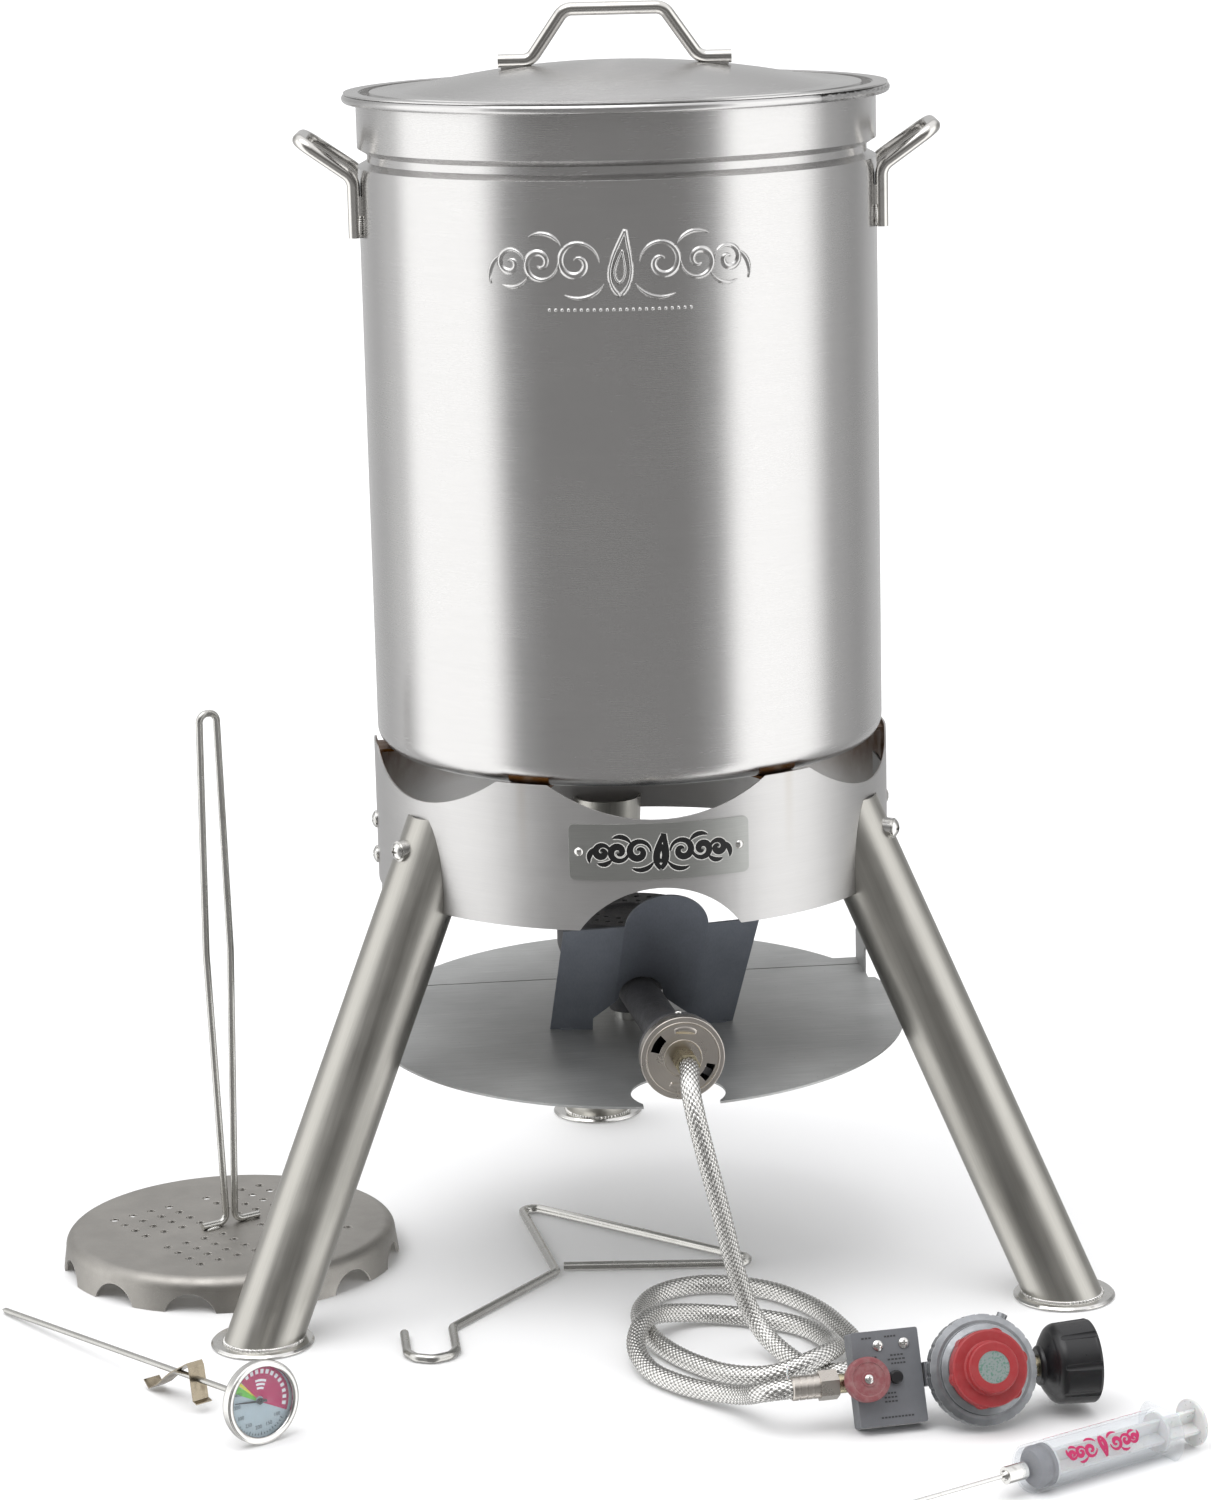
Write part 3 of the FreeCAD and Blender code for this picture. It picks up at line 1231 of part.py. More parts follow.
def stem_clip():
    """A spring strip folded to a V, its lips curled; both arms are pierced by the stem."""
    ring = [V(-CLIP_WIDTH / 2, up, ahead) for ahead, up in ribbon(CLIP_PROFILE, CLIP_SHEET)]
    clip = Part.Face(Part.makePolygon(ring + ring[:1])).extrude(V(CLIP_WIDTH, 0, 0))
    clip = clip.cut(Part.makeCylinder(PROBE_R + RUNNING, 120, V(0, 0, -60)))
    axis = probe_axis()
    upright = math.degrees(math.atan2(-axis.y, -axis.x)) - 90
    return along(axis, turn(clip, upright), on_probe(CLIP_FROM_TIP))


def injector_part(shape, start):
    return along(BARREL_AXIS, shape, BARREL_FRONT + V(BARREL_AXIS).normalize() * start)


def injector_barrel():
    """The clear tube with its nose, open at the back behind a finger flange that lies on a flat."""
    tube = turned((0, 0), (12.2, 0), (14, 0.6, BARREL_R, 3), (BARREL_R, BARREL_LENGTH - 2.5),
                  (FLANGE_R, BARREL_LENGTH - 2.5), (FLANGE_R, BARREL_LENGTH), (BARREL_BORE, BARREL_LENGTH),
                  (BARREL_BORE, 2), (0, 2))
    nose = turned((0, -12), (3.2, -12), (4.2, 1), (0, 1))
    sides = box((-FLANGE_R, FLANGE_R), (-15.1, 15.1), (-20, BARREL_LENGTH + 5))
    tube = tube.fuse(nose).cut(Part.makeCylinder(1.2, 20, V(0, 0, -14))).common(sides)
    level = math.degrees(math.atan2(BARREL_AXIS.y, BARREL_AXIS.x)) - 90
    return injector_part(turn(tube, level), 0)


def injector_piston():
    seal = turned((0, 4.5), (11, 4.5), (BARREL_BORE - RUNNING, 7), (BARREL_BORE - RUNNING, 9),
                  (BARREL_BORE - 1.5, 9.6), (BARREL_BORE - 1.5, 12.4), (BARREL_BORE - RUNNING, 13),
                  (BARREL_BORE - RUNNING, 15.5), (0, 15.5))
    return injector_part(seal, 0)


def injector_plunger():
    end = BARREL_LENGTH + PLUNGER_OUT
    start = 15.5 + SKIN
    rod = box((-1.2, 1.2), (-10, 10), (start, end)).fuse(box((-10, 10), (-1.2, 1.2), (start, end)))
    for z in (start, BARREL_LENGTH - 6):
        rod = rod.fuse(Part.makeCylinder(12.6, 2, V(0, 0, z)))
    rod = rod.fuse(turned((0, end), (14.2, end), (15, end + 1.2, 14.2, end + 2.6), (0, end + 2.6)))
    return injector_part(turn(rod, 45), 0)


def injector_needle():
    """The steel needle and its screw-on hub."""
    hub = turned((1.25, -17.5), (2.6, -17.5), (3.4, -15.5), (5.4, -15.5), (5.4, -1), (4.4, -1), (3.45, -12.2),
                 (1.25, -12.2))
    shaft = pipe(1.25, 0.75, NEEDLE_LENGTH, V(0, 0, -12.3 - NEEDLE_LENGTH), UP)
    tip = box((-5, 5), (-5, 5), (-20, 20))
    tip.rotate(V(0, 0, 0), V(1, 0, 0), 60)
    tip.translate(V(0, -19, -12.3 - NEEDLE_LENGTH - 7))
    return injector_part(hub.fuse(shaft).cut(tip), 0)


# ---------------------------------------------------------------- the assembly

NODES = {
    "wind_ring": wind_ring,
    "pot_rests": pot_rests,
    "nameplate": nameplate,
    "nameplate_rivets": nameplate_rivets,
    "leg_left": lambda: leg("left"),
    "leg_right": lambda: leg("right"),
    "leg_rear": lambda: leg("rear"),
    "foot_rings": foot_rings,
    "leg_saddle_washers": leg_saddle_washers,
    "leg_bolts": leg_bolts,
    "leg_nuts": leg_nuts,
    "heat_shield": heat_shield,
    "shield_bolts": shield_bolts,
    "shield_nuts": shield_nuts,
    "burner": burner,
    "burner_spacer": burner_spacer,
    "burner_bolt": burner_bolt,
    "hose_baffle": hose_baffle,
    "baffle_screws": baffle_screws,
    "baffle_nuts": baffle_nuts,
    "air_shutter": air_shutter,
    "orifice_fitting": orifice_fitting,
    "swivel_nut_burner": swivel_nut_burner,
    "hose_braid": hose_braid,
    "hose_liner": hose_liner,
    "hose_ferrule": hose_ferrule,
    "swivel_nut_valve": swivel_nut_valve,
    "valve_body": valve_body,
    "valve_spindle": valve_spindle,
    "valve_knob": valve_knob,
    "knob_screw": knob_screw,
    "control_cover": control_cover,
    "control_plate": control_plate,
    "cover_screws": cover_screws,
    "reset_button": reset_button,
    "regulator_body": regulator_body,
    "regulator_diaphragm": regulator_diaphragm,
    "regulator_bonnet": regulator_bonnet,
    "regulator_spring": regulator_spring,
    "adjuster_cap": adjuster_cap,
    "adjuster_badge": adjuster_badge,
    "inlet_nipple": inlet_nipple,
    "tank_nut": tank_nut,
    "pot": pot,
    "pot_handles": pot_handles,
    "lid": lid,
    "lid_handle": lid_handle,
    "rack_plate": rack_plate,
    "rack_loop": rack_loop,
    "grab_hook": grab_hook,
    "thermometer_stem": thermometer_stem,
    "thermometer_case": thermometer_case,
    "dial_face": dial_face,
    "dial_needle": dial_needle,
    "dial_lens": dial_lens,
    "stem_clip": stem_clip,
    "injector_barrel": injector_barrel,
    "injector_piston": injector_piston,
    "injector_plunger": injector_plunger,
    "injector_needle": injector_needle,
}

os.makedirs("parts", exist_ok=True)
for name, build in NODES.items():
    shape = build()
    if not shape.isValid():
        print("not valid:", name)
    print(name, len(shape.Solids), round(shape.Volume / 1000, 2))
    shape.exportStep("parts/" + name + ".step")
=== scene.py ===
"""Looks of the turkey fryer kit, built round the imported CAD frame.

Every length in a constant is in millimetres and becomes metres through MM.
"""

import json
import math

import bmesh
import bpy
import numpy as np
from mathutils import Matrix, Vector


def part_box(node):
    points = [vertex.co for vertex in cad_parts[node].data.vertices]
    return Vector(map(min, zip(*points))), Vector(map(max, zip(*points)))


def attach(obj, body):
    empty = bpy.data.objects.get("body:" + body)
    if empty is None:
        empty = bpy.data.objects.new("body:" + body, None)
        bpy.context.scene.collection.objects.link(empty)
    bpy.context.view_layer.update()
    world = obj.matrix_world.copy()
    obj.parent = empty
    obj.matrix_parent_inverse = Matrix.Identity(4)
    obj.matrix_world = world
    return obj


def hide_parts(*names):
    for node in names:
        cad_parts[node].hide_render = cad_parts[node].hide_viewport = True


MM = 0.001
UP = Vector((0, 0, 1))

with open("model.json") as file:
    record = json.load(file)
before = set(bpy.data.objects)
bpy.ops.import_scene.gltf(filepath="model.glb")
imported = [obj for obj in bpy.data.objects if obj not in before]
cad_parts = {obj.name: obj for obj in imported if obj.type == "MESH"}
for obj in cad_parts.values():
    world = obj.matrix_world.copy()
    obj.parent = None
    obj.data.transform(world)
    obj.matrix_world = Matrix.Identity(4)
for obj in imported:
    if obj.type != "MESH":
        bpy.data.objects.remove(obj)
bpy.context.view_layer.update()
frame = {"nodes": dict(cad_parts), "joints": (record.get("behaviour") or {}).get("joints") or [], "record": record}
JOINTS = {joint["name"]: joint for joint in frame["joints"]}
SLOTS = {part["node"]: part["material_slot"] for part in frame["record"]["subparts"]}

# Camera and studio
CAMERA_PLACE = (-289.5, -2820.0, 994.0)
CAMERA_YAW = 5.86
CAMERA_PITCH = 12.65
CAMERA_ROLL = 1.32
CAMERA_LENS = 99.43
CAMERA_SHIFT = (-0.0164, 0.0049)

# Brightness of the room round the object, by degrees from its back: 0 is straight behind the camera
STUDIO_LEVELS = (
    (-180, 0.60), (-140, 0.50), (-118, 0.80), (-104, 1.75), (-66, 1.75), (-48, 0.30),
    (-35, 0.185), (28, 0.185), (40, 0.36), (55, 1.8), (86, 1.75), (108, 0.48),
    (128, 0.32), (150, 0.50), (180, 0.60),
)

# Walls that carry grain, marks or print
POT_WALL_R = 176.0
RING_WALL_R = 179.0
RING_INSIDE = (177.85, 177.7)
RING_SEAMS = 6

# Hose: the route its centre takes between the burner and the gas set, as laid in the CAD
HOSE_ROUTE = (
    (9, -240, 191), (11, -252, 174), (18, -256, 143), (27, -249, 106), (36, -238, 66),
    (45, -231, 34), (56, -240, 14),
    (69, -265, 7), (83, -293, 6.6), (101, -297, 6.6), (114, -277, 6.6), (117, -240, 6.6),
    (103, -174, 6.6), (73, -128, 6.6), (31, -110, 6.6), (-3, -123, 6.6), (-21, -160, 6.6),
    (-19, -205, 6.6), (-4, -250, 6.6), (24, -288, 6.8),
    (52, -309, 12), (80, -304, 20.2), (98, -281, 18), (102, -246, 8), (87, -205, 6.8),
    (55, -183, 6.6), (22, -172, 7.5), (-6, -186, 14.5), (-22, -211, 20.6), (-32, -240, 13),
    (-26, -274, 7), (-2, -309, 7), (27, -342, 13),
)
ROUNDING_SHARE = 0.49
HOSE_R = 6.5
HOSE_FROM_MOUTH = (14.6, 25.4)
FERRULE_AHEAD = 17.0
BRAID_CARRIERS = 12
BRAID_PITCH = 4.0
BRAID_RELIEF = 0.9
BRAID_AROUND = 96


# ---------------------------------------------------------------- geometry helpers

def link(name, mesh):
    obj = bpy.data.objects.new(name, mesh)
    bpy.context.scene.collection.objects.link(obj)
    return obj


def piece(name, vertices, faces, body, slot, smooth=True):
    """A new mesh that rides on a body, with the finish of a material slot or of an ink."""
    mesh = bpy.data.meshes.new(name)
    mesh.from_pydata([tuple(v) for v in vertices], [], faces)
    work = bmesh.new()
    work.from_mesh(mesh)
    bmesh.ops.recalc_face_normals(work, faces=work.faces)
    work.to_mesh(mesh)
    work.free()
    if smooth:
        mesh.shade_smooth()
    obj = link(name, mesh)
    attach(obj, body)
    obj.data.materials.append(finish(slot))
    return obj


def skin(rings, looped=False, capped=True):
    """Vertices and faces of a skin through rings of points, an array (rings, points, 3)."""
    count, size = rings.shape[:2]
    index = np.arange(count * size).reshape(count, size)
    here = index if looped else index[:-1]
    ahead = np.roll(index, -1, axis=0) if looped else index[1:]
    quads = np.stack([here, np.roll(here, -1, 1), np.roll(ahead, -1, 1), ahead], -1)
    faces = quads.reshape(-1, 4).tolist()
    if capped and not looped:
        faces += [index[0].tolist(), index[-1].tolist()]
    return rings.reshape(-1, 3), faces


def joined(skins):
    """Several skins as one list of vertices and faces."""
    vertices, faces = [], []
    for points, polygons in skins:
        start = len(vertices)
        vertices += [tuple(p) for p in points]
        faces += [[i + start for i in polygon] for polygon in polygons]
    return vertices, faces


def local_frame(axis, across, origin=(0, 0, 0)):
    """A matrix with Z along the axis and X as near to another direction as it can be."""
    z = Vector(axis).normalized()
    x = (Vector(across) - z * Vector(across).dot(z)).normalized()
    turn = Matrix((x, z.cross(x), z)).transposed().to_4x4()
    return Matrix.Translation(origin) @ turn


def joint_frame(name):
    """A frame at a joint: Z along its axis, X as near to up as it can be."""
    joint = JOINTS[name]
    return local_frame(joint["axis"], UP, joint["pos_m"])


def points_of(node):
    mesh = frame["nodes"][node].data
    flat = np.zeros(len(mesh.vertices) * 3, np.float32)
    mesh.vertices.foreach_get("co", flat)
    return flat.reshape(-1, 3).astype(float)


def transform(matrix, points):
    m = np.array(matrix)
    return np.asarray(points) @ m[:3, :3].T + m[:3, 3]


def local_box(node, matrix):
    """A node's limits along the axes of a local frame, in metres."""
    points = transform(matrix.inverted(), points_of(node))
    return points.min(0), points.max(0)


def main_axis(node):
    """Middle of a long node and the direction it runs in, the upward way."""
    points = points_of(node)
    middle = (points.max(0) + points.min(0)) / 2
    direction = np.linalg.svd(points - points.mean(0), full_matrices=False)[2][0]
    direction *= np.sign(direction[2]) or 1.0
    return Vector(middle), Vector(direction)


def cylinder_surface(matrix, radius, heading=0.0):
    """Maps (round, along, lift) in mm on to a cylinder about the frame's Z axis."""
    def place(points):
        points = np.asarray(points, float)
        angle = math.radians(heading) + points[..., 0] / radius
        reach = (radius + points[..., 2]) * MM
        local = np.stack([reach * np.cos(angle), reach * np.sin(angle), points[..., 1] * MM], -1)
        return transform(matrix, local)
    return place


def flat_surface(matrix):
    """Maps (x, y, lift) in mm on to the frame's XY plane."""
    def place(points):
        return transform(matrix, np.asarray(points, float) * MM)
    return place


def stroke(points, widths, section, surface):
    """A drawn line of changing width laid on a surface. The section lists (across, lift),
    where across is a share of the half width and lift is in mm."""
    points = np.asarray(points, float)
    ahead = np.gradient(points, axis=0)
    ahead /= np.linalg.norm(ahead, axis=1)[:, None]
    side = np.stack([-ahead[:, 1], ahead[:, 0]], 1)
    half = np.broadcast_to(np.asarray(widths, float), (len(points),)) / 2
    rings = []
    for across, lift in section:
        flat = points + side * (half * across)[:, None]
        rings.append(np.column_stack([flat, np.full(len(points), lift)]))
    return skin(surface(np.stack(rings, 1)))


def ink(lift=0.05, sink=0.1):
    """The section of a printed line."""
    return [(-1, -sink), (-1, lift), (1, lift), (1, -sink)]


def embossed(height):
    """The section of a line pressed up out of a sheet."""
    return [(-1.25, -0.4), (-1.0, 0.0), (-0.7, 0.45 * height), (-0.35, 0.9 * height),
            (0, height), (0.35, 0.9 * height), (0.7, 0.45 * height), (1.0, 0.0), (1.25, -0.4)]


def lathed(matrix, profile, sides, looped=False):
    """A skin turned about a frame's Z axis from (radius, height) pairs in mm."""
    angle = np.linspace(0, 2 * math.pi, sides, endpoint=False)
    radius, height = np.array(profile, float).T[:, :, None] * MM
    rings = np.stack([radius * np.cos(angle), radius * np.sin(angle), height + 0 * angle], -1)
    return skin(transform(matrix, rings), looped)


def bead(path, radius, closed=False, sides=10, ripple=0.18, step=1.4):
    """A weld bead with its row of ripples, along points in metres."""
    path = np.asarray(path, float)
    loop = np.vstack([path, path[:1]]) if closed else path
    lengths = np.concatenate([[0], np.cumsum(np.linalg.norm(np.diff(loop, axis=0), axis=1))])
    count = max(8, int(lengths[-1] / (step * MM / 4)))
    at = np.linspace(0, lengths[-1], count, endpoint=not closed)
    centre = np.stack([np.interp(at, lengths, loop[:, i]) for i in range(3)], 1)
    size = radius * MM * (1 + ripple * np.sin(at / (step * MM) * 2 * math.pi))
    if not closed:
        size *= np.sqrt(np.clip(np.sin(np.linspace(0.03, math.pi - 0.03, count)), 0.05, 1))
    return skin(tube_rings(centre, size, sides), looped=closed)


def tube_rings(centre, radius, sides, relief=None):
    """Rings round a path, carried along it without twist."""
    ahead = np.gradient(centre, axis=0)
    ahead /= np.linalg.norm(ahead, axis=1)[:, None]
    side = np.cross(ahead[0], [0.0, 0.31, 0.95])
    sides_of = []
    for direction in ahead:
        side = side - direction * (side @ direction)
        side = side / np.linalg.norm(side)
        sides_of.append(side)
    across = np.array(sides_of)
    over = np.cross(ahead, across)
    angle = np.linspace(0, 2 * math.pi, sides, endpoint=False)
    reach = np.broadcast_to(np.asarray(radius, float), (len(centre),))[:, None]
    if relief is not None:
        reach = reach + relief
    ring = reach[..., None] * (across[:, None] * np.cos(angle)[None, :, None]
                               + over[:, None] * np.sin(angle)[None, :, None])
    return centre[:, None] + ring


# ---------------------------------------------------------------- material helpers

def shade(red, green, blue):
    """A colour given as it looks on a screen, 0 to 255, in linear light."""
    values = []
    for value in (red, green, blue):
        value /= 255
        values.append(value / 12.92 if value <= 0.04045 else ((value + 0.055) / 1.055) ** 2.4)
    return (*values, 1.0)


class Graph:
    """Shader nodes, and the few kinds of sum that every tree here needs."""

    def __init__(self, tree):
        self.tree = tree

    def node(self, kind, **settings):
        made = self.tree.nodes.new("ShaderNode" + kind)
        for key, value in settings.items():
            setattr(made, key, value)
        return made

    def plug(self, socket, value):
        if isinstance(value, bpy.types.NodeSocket):
            self.tree.links.new(value, socket)
        else:
            socket.default_value = value

    def fill(self, made, *values):
        """Fills a node's first inputs and gives its first output."""
        for socket, value in zip(made.inputs, values):
            self.plug(socket, value)
        return made.outputs[0]

    def math(self, operation, a, b=0.0):
        return self.fill(self.node("Math", operation=operation), a, b)

    def span(self, value, low, high, to_low=0.0, to_high=1.0, smooth=False):
        made = self.node("MapRange", interpolation_type="SMOOTHSTEP" if smooth else "LINEAR")
        return self.fill(made, value, low, high, to_low, to_high)

    def mix(self, share, a, b, blend="MIX"):
        made = self.node("Mix", data_type="RGBA", blend_type=blend)
        self.plug(made.inputs[0], share)
        self.plug(made.inputs[6], a)
        self.plug(made.inputs[7], b)
        return made.outputs[2]

    def parts(self, vector):
        made = self.node("SeparateXYZ")
        self.plug(made.inputs[0], vector)
        return made.outputs

    def join(self, x, y, z):
        return self.fill(self.node("CombineXYZ"), x, y, z)


class Paint(Graph):
    """One procedural material."""

    def __init__(self, name, colour, roughness, metallic=0.0):
        self.material = bpy.data.materials.new(name)
        self.material.use_nodes = True
        super().__init__(self.material.node_tree)
        self.surface = self.tree.nodes["Principled BSDF"]
        self.colour = self.node("RGB").outputs[0]
        self.colour.default_value = colour
        self.roughness = self.node("Value").outputs[0]
        self.roughness.default_value = roughness
        self.height = None
        self.plug(self.surface.inputs["Metallic"], metallic)
        self.place = self.node("TexCoord").outputs["Object"]

    def turned(self, matrix):
        """Object coordinates in a local frame."""
        moved = self.node("Mapping", vector_type="POINT")
        back = matrix.inverted()
        self.plug(moved.inputs["Vector"], self.place)
        moved.inputs["Location"].default_value = back.to_translation()
        moved.inputs["Rotation"].default_value = back.to_euler()
        return moved.outputs[0]

    def wrapped(self, place, radius):
        """Coordinates unrolled from the Z axis: round, along, and out, in metres."""
        x, y, z = self.parts(place)
        round_ = self.math("MULTIPLY", self.math("ARCTAN2", y, x), radius * MM)
        out = self.math("SQRT", self.math("ADD", self.math("MULTIPLY", x, x), self.math("MULTIPLY", y, y)))
        return self.join(round_, z, out)

    def noise(self, size, place=None, stretch=(1, 1, 1), detail=3.0, rough=0.55):
        """Noise whose cells are size mm, longer where stretch is above 1."""
        made = self.node("TexNoise")
        factors = [1 / (size * MM * s) for s in stretch]
        scaled = self.node("VectorMath", operation="MULTIPLY")
        self.plug(made.inputs["Vector"], self.fill(scaled, self.place if place is None else place, factors))
        made.inputs["Scale"].default_value = 1.0
        made.inputs["Detail"].default_value = detail
        made.inputs["Roughness"].default_value = rough
        return made.outputs[0]

    def cells(self, size, place=None):
        made = self.node("TexVoronoi")
        self.plug(made.inputs["Vector"], self.place if place is None else place)
        made.inputs["Scale"].default_value = 1 / (size * MM)
        return made.outputs["Distance"]

    def vary(self, fac, amount):
        """Makes the colour lighter and darker by a share."""
        level = self.span(fac, 0.25, 0.75, 1 - amount, 1 + amount)
        self.colour = self.mix(1.0, self.colour, self.join(level, level, level), "MULTIPLY")

    def stain(self, mask, colour, strength=1.0):
        share = self.math("MULTIPLY", mask, strength)
        self.colour = self.mix(share, self.colour, colour)

    def roughen(self, fac, amount):
        change = self.span(fac, 0.25, 0.75, -amount, amount)
        self.roughness = self.math("ADD", self.roughness, change)

    def raise_by(self, fac, depth):
        """Adds relief of a depth in mm."""
        layer = self.math("MULTIPLY", fac, depth * MM)
        self.height = layer if self.height is None else self.math("ADD", self.height, layer)

    def let_through(self, share, tint=(1, 1, 1, 1)):
        """Lets a share of the light go straight through."""
        open_ = self.fill(self.node("BsdfTransparent"), tint)
        mixed = self.fill(self.node("MixShader"), share, self.surface.outputs[0], open_)
        self.plug(self.tree.nodes["Material Output"].inputs["Surface"], mixed)

    def edges(self, radius):
        """A mask of the edges, from how far a rounded normal leans from the true one."""
        rounded = self.node("Bevel", samples=4)
        rounded.inputs["Radius"].default_value = radius * MM
        true = self.node("NewGeometry").outputs["Normal"]
        lean = self.node("VectorMath", operation="DOT_PRODUCT")
        self.plug(lean.inputs[0], rounded.outputs[0])
        self.plug(lean.inputs[1], true)
        return self.span(lean.outputs["Value"], 0.995, 0.80)

    def done(self, edge=0.25, brushed=None, strength=1.0):
        """Connects everything; the sharp edges are rounded by a small radius in mm."""
        self.plug(self.surface.inputs["Base Color"], self.colour)
        clamp = self.span(self.roughness, 0.03, 1.0, 0.03, 1.0)
        self.plug(self.surface.inputs["Roughness"], clamp)
        normal = self.node("Bevel", samples=4)
        normal.inputs["Radius"].default_value = edge * MM
        result = normal.outputs[0]
        if self.height is not None:
            bump = self.node("Bump")
            bump.inputs["Strength"].default_value = strength
            bump.inputs["Distance"].default_value = 1.0
            self.plug(bump.inputs["Height"], self.height)
            self.plug(bump.inputs["Normal"], result)
            result = bump.outputs[0]
        self.plug(self.surface.inputs["Normal"], result)
        if brushed:
            self.surface.inputs["Anisotropic"].default_value = brushed
            self.surface.inputs["Anisotropic Rotation"].default_value = 0.25
            tangent = self.node("Tangent", direction_type="RADIAL", axis="Z")
            self.plug(self.surface.inputs["Tangent"], tangent.outputs[0])
        return self.material


# ---------------------------------------------------------------- metals

def steel(name, colour, roughness):
    return Paint(name, colour, roughness, metallic=1.0)


def smudged(paint, amount=0.05, size=60.0, place=None):
    """Broad, faint handling marks."""
    patches = paint.noise(size, place, detail=4)
    paint.roughen(patches, amount)
    paint.vary(patches, amount * 0.6)


def brushed_round(paint, radius, depth=0.0012, streak=0.025):
    """Fine grain that runs round the Z axis."""
    wrapped = paint.wrapped(paint.place, radius)
    grain = paint.noise(0.35, wrapped, (60, 1, 1), detail=2)
    broad = paint.noise(6.0, wrapped, (20, 1, 1), detail=3)
    paint.vary(grain, streak)
    paint.vary(broad, streak * 0.3)
    paint.roughen(grain, 0.03)
    paint.raise_by(grain, depth)
    return wrapped


def scratched(paint, place, amount=0.35, size=0.6, length=40.0):
    """Sparse long scratches."""
    lines = paint.noise(size, place, (length, 1, 1), detail=1)
    sparse = paint.noise(22.0, place, detail=2)
    mask = paint.math("MULTIPLY", paint.span(lines, 0.66, 0.74), paint.span(sparse, 0.45, 0.62))
    paint.stain(mask, shade(225, 224, 220), amount)
    paint.raise_by(mask, -0.01)
    return mask


def pot_steel():
    paint = steel("pot_steel", shade(198, 197, 196), 0.25)
    brushed_round(paint, POT_WALL_R)
    smudged(paint, 0.035, 90.0)
    return paint.done(0.3, brushed=0.75)


def ring_steel():
    """Satin sheet; the inside near the rim is darkened brown with painted shade, as in the shadow under the pot.
    """
    paint = steel("ring_steel", shade(196, 195, 194), 0.44)
    wrapped = brushed_round(paint, RING_WALL_R, streak=0.04)
    smudged(paint, 0.05, 45.0)
    z = paint.parts(paint.place)[2]
    round_, _, out = paint.parts(wrapped)
    inside = paint.span(out, RING_INSIDE[0] * MM, RING_INSIDE[1] * MM)
    low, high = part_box("wind_ring")
    near_top = paint.span(z, low.z + 0.35 * (high.z - low.z), high.z)
    mottled = paint.noise(18.0, detail=4)
    # Painted shade: the inside wall near the top is darkened brown where the pot shades it
    painted_shade_inside = paint.math("MULTIPLY", inside, paint.math("MULTIPLY", near_top, mottled))
    paint.stain(painted_shade_inside, shade(104, 66, 24), 2.2)
    turns = paint.math("MULTIPLY", round_, RING_SEAMS / (2 * RING_WALL_R * MM))
    seam = paint.math("ABSOLUTE", paint.math("SINE", turns))
    streak = paint.math("MULTIPLY", paint.span(seam, 0.10, 0.0, smooth=True), near_top)
    paint.stain(streak, shade(170, 160, 145), 0.25)
    return paint.done(0.3, brushed=0.5)


def leg_steel(node):
    """Satin tube polished along its length."""
    middle, direction = main_axis(node)
    local = local_frame(direction, (1, 0, 0), middle)
    paint = steel("leg_steel_" + node, shade(176, 174, 168), 0.36)
    wrapped = paint.wrapped(paint.turned(local), 25.4)
    grain = paint.noise(0.9, wrapped, (1, 70, 1), detail=2)
    bands = paint.noise(5.0, wrapped, (1, 30, 1), detail=3)
    paint.vary(grain, 0.05)
    paint.vary(bands, 0.06)
    paint.roughen(bands, 0.05)
    paint.raise_by(grain, 0.002)
    smudged(paint, 0.05, 35.0)
    return paint.done(0.3)


def plate_steel():
    paint = steel("plate_steel", shade(176, 177, 174), 0.36)
    grain = paint.noise(0.5, stretch=(40, 40, 1), detail=2)
    paint.vary(grain, 0.06)
    paint.raise_by(grain, 0.004)
    smudged(paint, 0.04, 25.0)
    return paint.done(0.25)


def bright_steel():
    """Polished fasteners, foot rings and small fittings."""
    paint = steel("bright_steel", shade(214, 213, 210), 0.16)
    smudged(paint, 0.05, 8.0)
    grain = paint.noise(0.5, detail=2)
    paint.raise_by(grain, 0.006)
    paint.stain(paint.span(paint.noise(5.0, detail=5), 0.60, 0.75), shade(120, 112, 100), 0.35)
    return paint.done(0.2)


def shield_steel():
    """Mill sheet: scuffed along X, with darker heat patches and a few pits."""
    paint = Paint("shield_steel", shade(176, 177, 176), 0.45, metallic=0.6)
    grain = paint.noise(1.2, stretch=(30, 1, 1), detail=3)
    paint.vary(grain, 0.10)
    paint.raise_by(grain, 0.01)
    patches = paint.noise(70.0, detail=5)
    paint.vary(patches, 0.2)
    paint.roughen(patches, 0.08)
    scratched(paint, paint.place, 0.5, 0.8, 50.0)
    pits = paint.span(paint.cells(9.0), 0.05, 0.02)
    paint.stain(pits, shade(45, 42, 38), 0.7)
    edge = paint.edges(0.8)
    paint.stain(edge, shade(200, 200, 198), 0.5)
    return paint.done(0.3)


def nickel():
    """Plated sheet spun on a lathe, a little warm."""
    paint = steel("nickel", shade(192, 186, 179), 0.30)
    wrapped = paint.wrapped(paint.turned(joint_frame("air_shutter_turn")), 20.0)
    out = paint.parts(wrapped)[2]
    rings = paint.noise(0.6, paint.join(out, 0.0, 0.0), detail=2)
    paint.vary(rings, 0.08)
    paint.raise_by(rings, 0.01)
    smudged(paint, 0.06, 12.0)
    paint.stain(paint.edges(0.6), shade(235, 232, 228), 0.4)
    return paint.done(0.3)


def brass():
    paint = steel("brass", shade(198, 188, 160), 0.28)
    smudged(paint, 0.08, 6.0)
    grain = paint.noise(0.4, detail=3)
    paint.raise_by(grain, 0.012)
    paint.stain(paint.span(paint.noise(4.0, detail=5), 0.55, 0.8), shade(96, 80, 56), 0.5)
    paint.stain(paint.edges(0.4), shade(225, 214, 180), 0.5)
    return paint.done(0.25)


def zinc():
    """Pressure-cast regulator metal with a blasted skin and bright worn edges."""
    paint = steel("zinc", shade(150, 152, 155), 0.42)
    grain = paint.noise(0.7, detail=4, rough=0.7)
    paint.raise_by(grain, 0.09)
    paint.vary(paint.noise(9.0, detail=4), 0.2)
    paint.roughen(paint.noise(4.0, detail=3), 0.08)
    paint.stain(paint.edges(0.7), shade(225, 226, 228), 0.55)
    return paint.done(0.35)


